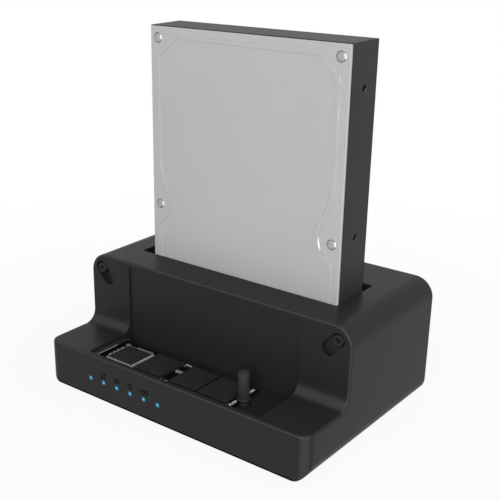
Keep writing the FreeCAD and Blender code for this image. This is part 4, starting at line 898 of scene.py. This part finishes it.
class DUPLICATOR_OT_card(bpy.types.Operator):
    """Makes the card's contacts, small parts and printed lines, the painted shade between its chips and the
    dark frame round its controller
    """
    bl_idname = "duplicator.card"
    bl_label = "M.2 card"

    def execute(self, context):
        self.small_parts()
        self.contacts(context.scene.duplicator_contacts)
        self.legend()
        self.chip_edges()
        return {"FINISHED"}

    def chip_edges(self):
        """Painted shade in the gaps between the memory chips, and a dark frame over the inner part of the
        controller's metal ring.
        """
        shape = bmesh.new()
        chips = solid_boxes("ssd_memory")
        lap, deep, proud = 0.22 * MM, 0.5 * MM, 0.015 * MM
        nearest = 2 * MM
        # Painted shade: a black block fills each narrow gap between memory chips
        for (_, left), (right, far) in zip(chips, chips[1:]):
            if right.x - left.x < nearest:
                slab(shape, (left.x - lap, right.y, left.z - deep), (right.x + lap, far.y, left.z + proud))
        low, high = corner("ssd_controller", 0), corner("ssd_controller", 1)
        ring = corner("ssd_controller_ring", 1)
        deep, proud = 0.2 * MM, 0.02 * MM
        wide = (ring.x - high.x) * 0.45
        left, right = low.x - wide, high.x + wide
        for x0, y0, x1, y1 in ((left, low.y - wide, right, low.y), (left, high.y, right, high.y + wide),
                               (left, low.y, low.x, high.y), (high.x, low.y, right, high.y)):
            slab(shape, (x0, y0, ring.z - deep), (x1, y1, ring.z + proud))
        keep("card_chip_gaps", mesh_of("card_chip_gaps", shape), "deep_line", "ssd")

    def small_parts(self):
        """Each small part as a ceramic body between two tinned ends; at the card's free end the ends are near
        white, a painted reflection.
        """
        bodies, ends, pads = bmesh.new(), bmesh.new(), bmesh.new()
        narrower, lower, rounding, free_end = 0.03 * MM, 0.04 * MM, 0.08 * MM, 8 * MM
        for low, high in solid_boxes("ssd_small_parts"):
            size = high - low
            long = 0 if size.x >= size.y else 1
            cap = size[long] * 0.26
            inner_low, inner_high = low.copy(), high.copy()
            inner_low[long] += cap
            inner_high[long] -= cap
            inner_low[1 - long] += narrower
            inner_high[1 - long] -= narrower
            inner_high.z -= lower
            slab(bodies, inner_low, inner_high)
            # Ends at the card's free end take the near-white painted reflection of the tin
            tins = pads if low.x > CARD_HIGH.x - free_end else ends
            end_high, end_low = high.copy(), low.copy()
            end_high[long] = low[long] + cap
            end_low[long] = high[long] - cap
            slab(tins, low, end_high, rounding)
            slab(tins, end_low, high, rounding)
        mesh = mesh_of("card_capacitors", bodies)
        made = keep("card_capacitors", mesh, "part_ceramic", "ssd")
        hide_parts("ssd_small_parts")
        keep("card_capacitor_ends", mesh_of("card_capacitor_ends", ends), "tinned_end", "ssd")
        keep("card_bright_pads", mesh_of("card_bright_pads", pads), "painted_reflection_pad", "ssd")

    def contacts(self, sizes):
        """A row of gold contacts on the end of the card that is in the socket."""
        shape = bmesh.new()
        t = sizes.thickness
        slab(shape, (-1.25 * MM, -0.17 * MM, 0), (1.25 * MM, 0.17 * MM, t), t * CONTACT_EASE)
        part = mesh_of("contact", shape)
        inset = 1.6 * MM
        start = Vector((CARD_LOW.x + inset, CARD_LOW.y + inset, CARD_HIGH.z))
        grow("card_contacts", tree_named("contact_row", True), part, [(0, 0, 0)], "contact_gold", "ssd",
             "ssd_circuit_board", Count=29, Start=start, Step=(0, sizes.card_pitch, 0))

    def legend(self):
        """Thin white corner lines round the chips."""
        shape = bmesh.new()
        z = CARD_HIGH.z
        half, long, ink = 0.06 * MM, 2.2 * MM, 0.02 * MM
        beside, beyond = 0.5 * MM, 0.45 * MM
        for low, high in solid_boxes("ssd_memory"):
            for x in (low.x - beside, high.x + beside):
                for y in (low.y - beyond, high.y + beyond - long):
                    slab(shape, (x - half, y, z), (x + half, y + long, z + ink))
        keep("card_legend", mesh_of("card_legend", shape), "legend_ink", "ssd")


# How far a line stands off the cover, and the length of the parts that a ribbon on it is made of
COVER_LIFT = 0.012 * MM
RIBBON_PART = 1.5 * MM
# Heights between which the bead's right and left runs take a painted highlight
LIT_RIGHT = ((131 * MM, 151 * MM), (71 * MM, 84 * MM))
LIT_LEFT = ((88 * MM, 148 * MM),)
# Heights from which the right run's upper and lower glints widen, and over what length they do
TAPER_UPPER, TAPER_LOWER, TAPER_LENGTH = 132 * MM, 70 * MM, 7 * MM
# Middles of the holes in the drive's sides: below its top, and behind the middle of the dock
HOLES_DOWN = (18.2 * MM, 79.2 * MM, 118.5 * MM)
HOLES_BACK = 8.55 * MM


class DUPLICATOR_OT_cover(bpy.types.Operator):
    """Makes the painted glints and painted shadow lines of the cover's pressed edges, and the marks on its
    sides
    """
    bl_idname = "duplicator.cover"
    bl_label = "Drive cover"

    def execute(self, context):
        sizes = context.scene.duplicator_press
        self.steps(sizes)
        self.side_marks(sizes)
        return {"FINISHED"}

    def levels(self):
        """Depths of the cover's flat face and of its raised discs, found from its front faces."""
        areas = {}
        for face in frame["nodes"]["drive_cover"].data.polygons:
            if face.normal.y < -0.99:
                key = round(face.center.y, 5)
                areas[key] = areas.get(key, 0) + face.area
        flat = max(areas, key=areas.get)
        front = corner("drive_cover", 0).y
        return flat, front + (flat - front) / 3

    def steps(self, sizes):
        """Lines of the raised discs: a painted highlight towards the light, painted shade below it, and a
        thin painted shadow line elsewhere.
        """
        flat, top = self.levels()
        left = corner("drive_base", 0).x
        glints, lines = bmesh.new(), bmesh.new()
        standing = Matrix.Rotation(math.radians(90), 4, "X")
        for radius, x, down in ((sizes.hub_radius, sizes.hub_x, sizes.hub_down),
                                (sizes.pivot_radius, sizes.pivot_x, sizes.pivot_down)):
            crown, foot = (Matrix.Translation((left + x, y - COVER_LIFT, DRIVE_HIGH.z - down)) @ standing
                           for y in (top, flat))
            # Painted highlight towards the light, painted shade below it, a thin painted shadow line round
            # the rest
            sector(glints, crown, radius - sizes.glint, radius, -18, 62)
            sector(lines, crown, radius - sizes.shade, radius, -98, -22)
            sector(lines, foot, radius, radius + sizes.line, 66, 262)
        self.beads(sizes, flat, glints, lines)
        keep("cover_glints", sheet("cover_glints", glints), "press_glint", "drive")
        keep("cover_lines", sheet("cover_lines", lines), "press_line", "drive")

    def beads(self, sizes, flat, glints, lines):
        """A narrow ribbon on the flat face along each foot of the bead: a painted highlight where the slope
        above it faces the light, which comes from the right, and a painted shadow line elsewhere."""
        source = bmesh.new()
        source.from_mesh(frame["nodes"]["drive_cover"].data)
        bmesh.ops.remove_doubles(source, verts=source.verts, dist=1e-6)
        low, high = corner("drive_cover", 0), corner("drive_cover", 1)
        lift = Vector((0, -COVER_LIFT, 0))
        close = 0.01 * MM
        for edge in source.edges:
            a, b = (v.co for v in edge.verts)
            if abs(a.y - flat) > close or abs(b.y - flat) > close or len(edge.link_faces) != 2:
                continue
            inside = all(low.x + MM < p.x < high.x - MM and low.z + MM < p.z < high.z - MM for p in (a, b))
            slopes = [f for f in edge.link_faces if 0.2 < abs(f.normal.y) < 0.97]
            if not inside or len(slopes) != 1:
                continue
            facing = Vector((slopes[0].normal.x, 0, slopes[0].normal.z)).normalized()
            parts = max(1, round((b - a).length / RIBBON_PART))
            for i in range(parts):
                start, end = a.lerp(b, i / parts), a.lerp(b, (i + 1) / parts)
                z = (start.z + end.z) / 2
                right = start.x > 0
                lit = any(bottom < z < top for bottom, top in (LIT_RIGHT if right else LIT_LEFT))
                # Painted highlight on slopes that face the light from the right, a painted shadow line on the
                # others
                highlit = facing.x > 0.85 and lit
                ribbon = glints if highlit else lines
                tapers_from = TAPER_UPPER if z > 100 * MM else TAPER_LOWER
                taper = max(0.2, min(1.0, (z - tapers_from) / TAPER_LENGTH))
                away = facing * (sizes.glint * (0.8 * taper if right else 0.2) if highlit else sizes.line)
                ring = [start, end, end + away, start + away]
                if (end - start).cross(away).y > 0:
                    ring.reverse()
                ribbon.faces.new([ribbon.verts.new(p + lift) for p in ring])
        source.free()

    def side_marks(self, sizes):
        """Painted shade in the sunk rims of the side holes, a pale crescent of bare thread on the side that
        light falls on, and a painted shadow line along the rear edge.
        """
        low, high = corner("drive_base", 0), corner("drive_base", 1)
        dark, pale = bmesh.new(), bmesh.new()
        lift = 0.01 * MM
        thread, rim, crescent = 0.8 * MM, 1.5 * MM, 1.65 * MM
        front, back = high.y - sizes.rear_line, high.y - 0.02 * MM
        for side in (-1, 1):
            x = (high.x if side > 0 else low.x) + side * lift
            for down in HOLES_DOWN:
                place = Matrix(((0, 0, side, x), (side, 0, 0, HOLES_BACK), (0, 1, 0, high.z - down),
                                (0, 0, 0, 1)))
                # Painted shade in the sunk rim; the pale crescent is bare cut metal, shown only on its lit
                # lower side: painted highlight
                sector(dark, place, rim, sizes.hole, 50, 310)
                sector(pale, place, thread, crescent, -110, 20)
            # Painted shadow: a dark strip along the drive's rear edge
            ring = [(x, front, low.z), (x, back, low.z), (x, back, high.z), (x, front, high.z)]
            dark.faces.new([dark.verts.new(p) for p in ring[::side]])
        for name, shape, material in (("drive_side_lines", dark, "deep_line"),
                                      ("drive_side_threads", pale, "cut_metal")):
            keep(name, sheet(name, shape), material, "drive")


class DUPLICATOR_OT_marks(bpy.types.Operator):
    """Makes the painted highlights and painted shade round the plug pockets, and the plain signs printed
    above the rear buttons
    """
    bl_idname = "duplicator.marks"
    bl_label = "Rims and signs"

    def execute(self, context):
        self.rims(context.scene.duplicator_plugs)
        self.signs(context.scene.duplicator_lights)
        return {"FINISHED"}

    def rims(self, sizes):
        """A ribbon on the face round each plug pocket: a painted highlight at the lower left, painted shade
        elsewhere.
        """
        source = bmesh.new()
        source.from_mesh(frame["nodes"]["housing_shell"].data)
        bmesh.ops.remove_doubles(source, verts=source.verts, dist=1e-6)
        pale, dark = bmesh.new(), bmesh.new()
        bottom, top = corner("spare_plug_left", 0).z - 9 * MM, corner("spare_plug_left", 1).z + MM
        ear, depth = 56 * MM, -10 * MM
        lift = Vector((0, -LIFT, 0))
        for edge in source.edges:
            a, b = (v.co for v in edge.verts)
            if len(edge.link_faces) != 2 or not bottom < a.z < top or abs(a.x) <= ear:
                continue
            front = [f for f in edge.link_faces if f.normal.y < -0.99]
            walls = [f for f in edge.link_faces if abs(f.normal.y) < 0.6]
            if len(front) != 1 or len(walls) != 1 or a.y > depth:
                continue
            away = Vector((-walls[0].normal.x, 0, -walls[0].normal.z)).normalized()
            towards = front[0].calc_center_median() - (a + b) / 2
            if (away.x * towards.x + away.z * towards.z) < 0:
                continue
            # Painted highlight on the lower left of a pocket's rim, painted shade on the rest
            highlit = away.x * -0.35 + away.z * -0.94 > 0.25
            wide = away * (sizes.rim if highlit else sizes.rim * 0.5)
            ring = [a, b, b + wide, a + wide]
            if (b - a).cross(wide).y > 0:
                ring.reverse()
            shape = pale if highlit else dark
            shape.faces.new([shape.verts.new(p + lift) for p in ring])
        source.free()
        keep("pocket_rims", sheet("pocket_rims", pale), "rim_painted_highlight", "dock")
        keep("pocket_shadows", sheet("pocket_shadows", dark), "deep_line", "dock")

    def signs(self, sizes):
        """A broken ring with a bar over the power button, two sheets over the clone button."""
        shape = bmesh.new()
        size = sizes.print_height * 0.5
        rise = 3 * MM
        for node in ("power_button", "clone_button"):
            low, high = corner(node, 0), corner(node, 1)
            place = Matrix(((-1, 0, 0, (low.x + high.x) / 2), (0, 0, 1, SHELL_HIGH.y + LIFT),
                            (0, 1, 0, high.z + rise), (0, 0, 0, 1)))
            if node == "power_button":
                sector(shape, place, size * 0.72, size, 125, 415)
                boxes = [(-0.14, 0.1, 0.14, 1.1)]
            else:
                boxes = [(-0.9, -0.9, 0.4, -0.65), (-0.9, -0.65, -0.65, 0.4), (-0.4, 0.65, 0.9, 0.9),
                         (0.65, -0.4, 0.9, 0.65), (-0.4, -0.4, 0.65, 0.65)]
            for x0, z0, x1, z1 in boxes:
                ring = [(x0, z0), (x1, z0), (x1, z1), (x0, z1)]
                shape.faces.new([shape.verts.new(place @ Vector((x * size, z * size, 0))) for x, z in ring])
        keep("rear_signs", sheet("rear_signs", shape), "print_ink", "dock")


class DUPLICATOR_OT_sockets(bpy.types.Operator):
    """Makes the springs and the steel edge of the card's socket, and the contacts of the drive's plug"""
    bl_idname = "duplicator.sockets"
    bl_label = "Sockets"

    def execute(self, context):
        sizes = context.scene.duplicator_contacts
        tree = tree_named("contact_row", True)
        low, high = corner("m2_socket", 0), corner("m2_socket", 1)
        shape = bmesh.new()
        slab(shape, (-0.9 * MM, -0.1 * MM, 0), (0.9 * MM, 0.1 * MM, 0.05 * MM), 0.02 * MM)
        part = mesh_of("spring", shape)
        start = Vector((low.x + 1.3 * MM, low.y + 2.6 * MM, high.z - 1.05 * MM))
        grow("m2_springs", tree, part, [(0, 0, 0)], "connector_steel", "dock", "connector_plastic",
             Count=33, Start=start, Step=(0, sizes.card_pitch, 0))
        self.drive_contacts(tree, sizes)
        shape = bmesh.new()
        slab(shape, (high.x - 0.05 * MM, low.y + 0.6 * MM, high.z - 0.42 * MM),
             (high.x + 0.06 * MM, high.y - 8.6 * MM, high.z - 0.1 * MM), 0.02 * MM)
        keep("m2_socket_edge", mesh_of("m2_socket_edge", shape), "frame_steel", "dock")
        return {"FINISHED"}

    def drive_contacts(self, tree, sizes):
        """The data and the power contacts on the tongue of the drive's plug."""
        low, high = corner("drive_plug", 0), corner("drive_plug", 1)
        middle = (low.x + high.x) / 2
        y = DRIVE_HIGH.y - 3.5 * MM - 0.65 * MM
        t = sizes.thickness
        shape = bmesh.new()
        slab(shape, (-0.42 * MM, -t, 0), (0.42 * MM, 0, 4.6 * MM), t * CONTACT_EASE)
        part = mesh_of("contact", shape)
        for name, number, start in (("drive_data_contacts", 7, -18.4), ("drive_power_contacts", 15, -4.4)):
            grow(name, tree, part, [(0, 0, 0)], "contact_gold", "drive", "connector_plastic",
                 Count=number, Start=Vector((middle + start * MM, y, low.z + 0.9 * MM)),
                 Step=(sizes.drive_pitch, 0, 0))


class DUPLICATOR_OT_stage(bpy.types.Operator):
    """Makes the floor, the soft light and the camera"""
    bl_idname = "duplicator.stage"
    bl_label = "Stage"

    def execute(self, context):
        shape = bmesh.new()
        reach = 4
        ring = [(-reach, -reach), (reach, -reach), (reach, reach), (-reach, reach)]
        shape.faces.new([shape.verts.new((x, y, 0)) for x, y in ring])
        mesh = bpy.data.meshes.new("floor")
        shape.to_mesh(mesh)
        shape.free()
        mesh.materials.append(stage_finish("paper_sweep", context.scene.duplicator_colours.floor))
        floor = bpy.data.objects.new("floor", mesh)
        context.scene.collection.objects.link(floor)
        self.world(context)
        # name, place, size, strength
        for name, place, size, power in (
            ("key_light", (0.55, 0.10, 0.95), 0.7, 3.6),
            ("front_light", (0.50, -0.95, 0.45), 0.6, 9.0),
            ("side_light", (1.1, -0.35, 0.35), 0.5, 1.5),
        ):
            lamp = bpy.data.lights.new(name, "AREA")
            lamp.size = size
            lamp.energy = power
            holder = bpy.data.objects.new(name, lamp)
            holder.location = place
            aim = Vector((0, 0, 0.06)) - Vector(place)
            holder.rotation_euler = aim.to_track_quat("-Z", "Y").to_euler()
            context.scene.collection.objects.link(holder)
        self.camera(context)
        context.scene.view_settings.view_transform = "Standard"
        return {"FINISHED"}

    def world(self, context):
        world = bpy.data.worlds.new("studio")
        world.use_nodes = True
        tree = world.node_tree
        tree.nodes.clear()
        power = add(tree, "ShaderNodeMapRange", inputs={0: seen_rays(tree), 3: 0.33, 4: 1.0}).outputs[0]
        sky = add(tree, "ShaderNodeBackground", inputs={"Color": (1, 1, 1, 1), "Strength": power}).outputs[0]
        add(tree, "ShaderNodeOutputWorld", inputs={"Surface": sky})
        context.scene.world = world

    def camera(self, context):
        """The photograph's viewpoint: place and aim fitted to the edges of both drives."""
        # In pixels of the photograph: its side, the fitted focal length and where the lens points
        side, focal, middle = 500, 947.08, (189.41, 280.26)
        lens = bpy.data.cameras.new("camera")
        lens.sensor_width = 36
        lens.lens = focal / side * lens.sensor_width
        lens.shift_x = (side / 2 - middle[0]) / side
        lens.shift_y = (middle[1] - side / 2) / side
        lens.clip_start = 0.02
        lens.clip_end = 20
        yaw, pitch, roll = math.radians(39.84), math.radians(21.52), math.radians(-0.28)
        ahead = Vector((-math.sin(yaw) * math.cos(pitch), math.cos(yaw) * math.cos(pitch), -math.sin(pitch)))
        holder = bpy.data.objects.new("camera", lens)
        holder.location = Vector((238.0, -318.03, 210.92)) * MM
        turn = ahead.to_track_quat("-Z", "Y").to_matrix() @ Matrix.Rotation(roll, 3, "Z")
        holder.rotation_euler = turn.to_euler()
        context.scene.collection.objects.link(holder)
        context.scene.camera = holder


OPERATORS = (DUPLICATOR_OT_finishes, DUPLICATOR_OT_lights, DUPLICATOR_OT_screws, DUPLICATOR_OT_plugs,
             DUPLICATOR_OT_card, DUPLICATOR_OT_cover, DUPLICATOR_OT_marks, DUPLICATOR_OT_sockets,
             DUPLICATOR_OT_stage)


class DUPLICATOR_PT_panel(bpy.types.Panel):
    """Sizes, colours and steps of the duplicator's looks"""
    bl_idname = "DUPLICATOR_PT_panel"
    bl_label = "Drive duplicator"
    bl_space_type = "VIEW_3D"
    bl_region_type = "UI"
    bl_category = "Duplicator"

    def draw(self, context):
        for step in OPERATORS:
            self.layout.operator(step.bl_idname)
        for key, group in GROUPS.items():
            box = self.layout.box()
            for name in group.__annotations__:
                box.prop(getattr(context.scene, key), name)


def register():
    for group in GROUPS.values():
        bpy.utils.register_class(group)
    for step in OPERATORS + (DUPLICATOR_PT_panel,):
        bpy.utils.register_class(step)
    for key, group in GROUPS.items():
        setattr(bpy.types.Scene, key, bpy.props.PointerProperty(type=group))


def unregister():
    for key in GROUPS:
        delattr(bpy.types.Scene, key)
    for step in (DUPLICATOR_PT_panel,) + OPERATORS[::-1]:
        bpy.utils.unregister_class(step)
    for group in GROUPS.values():
        bpy.utils.unregister_class(group)


def main():
    register()
    for step in OPERATORS:
        group, name = step.bl_idname.split(".")
        getattr(getattr(bpy.ops, group), name)()


if __name__ == "__main__":
    main()
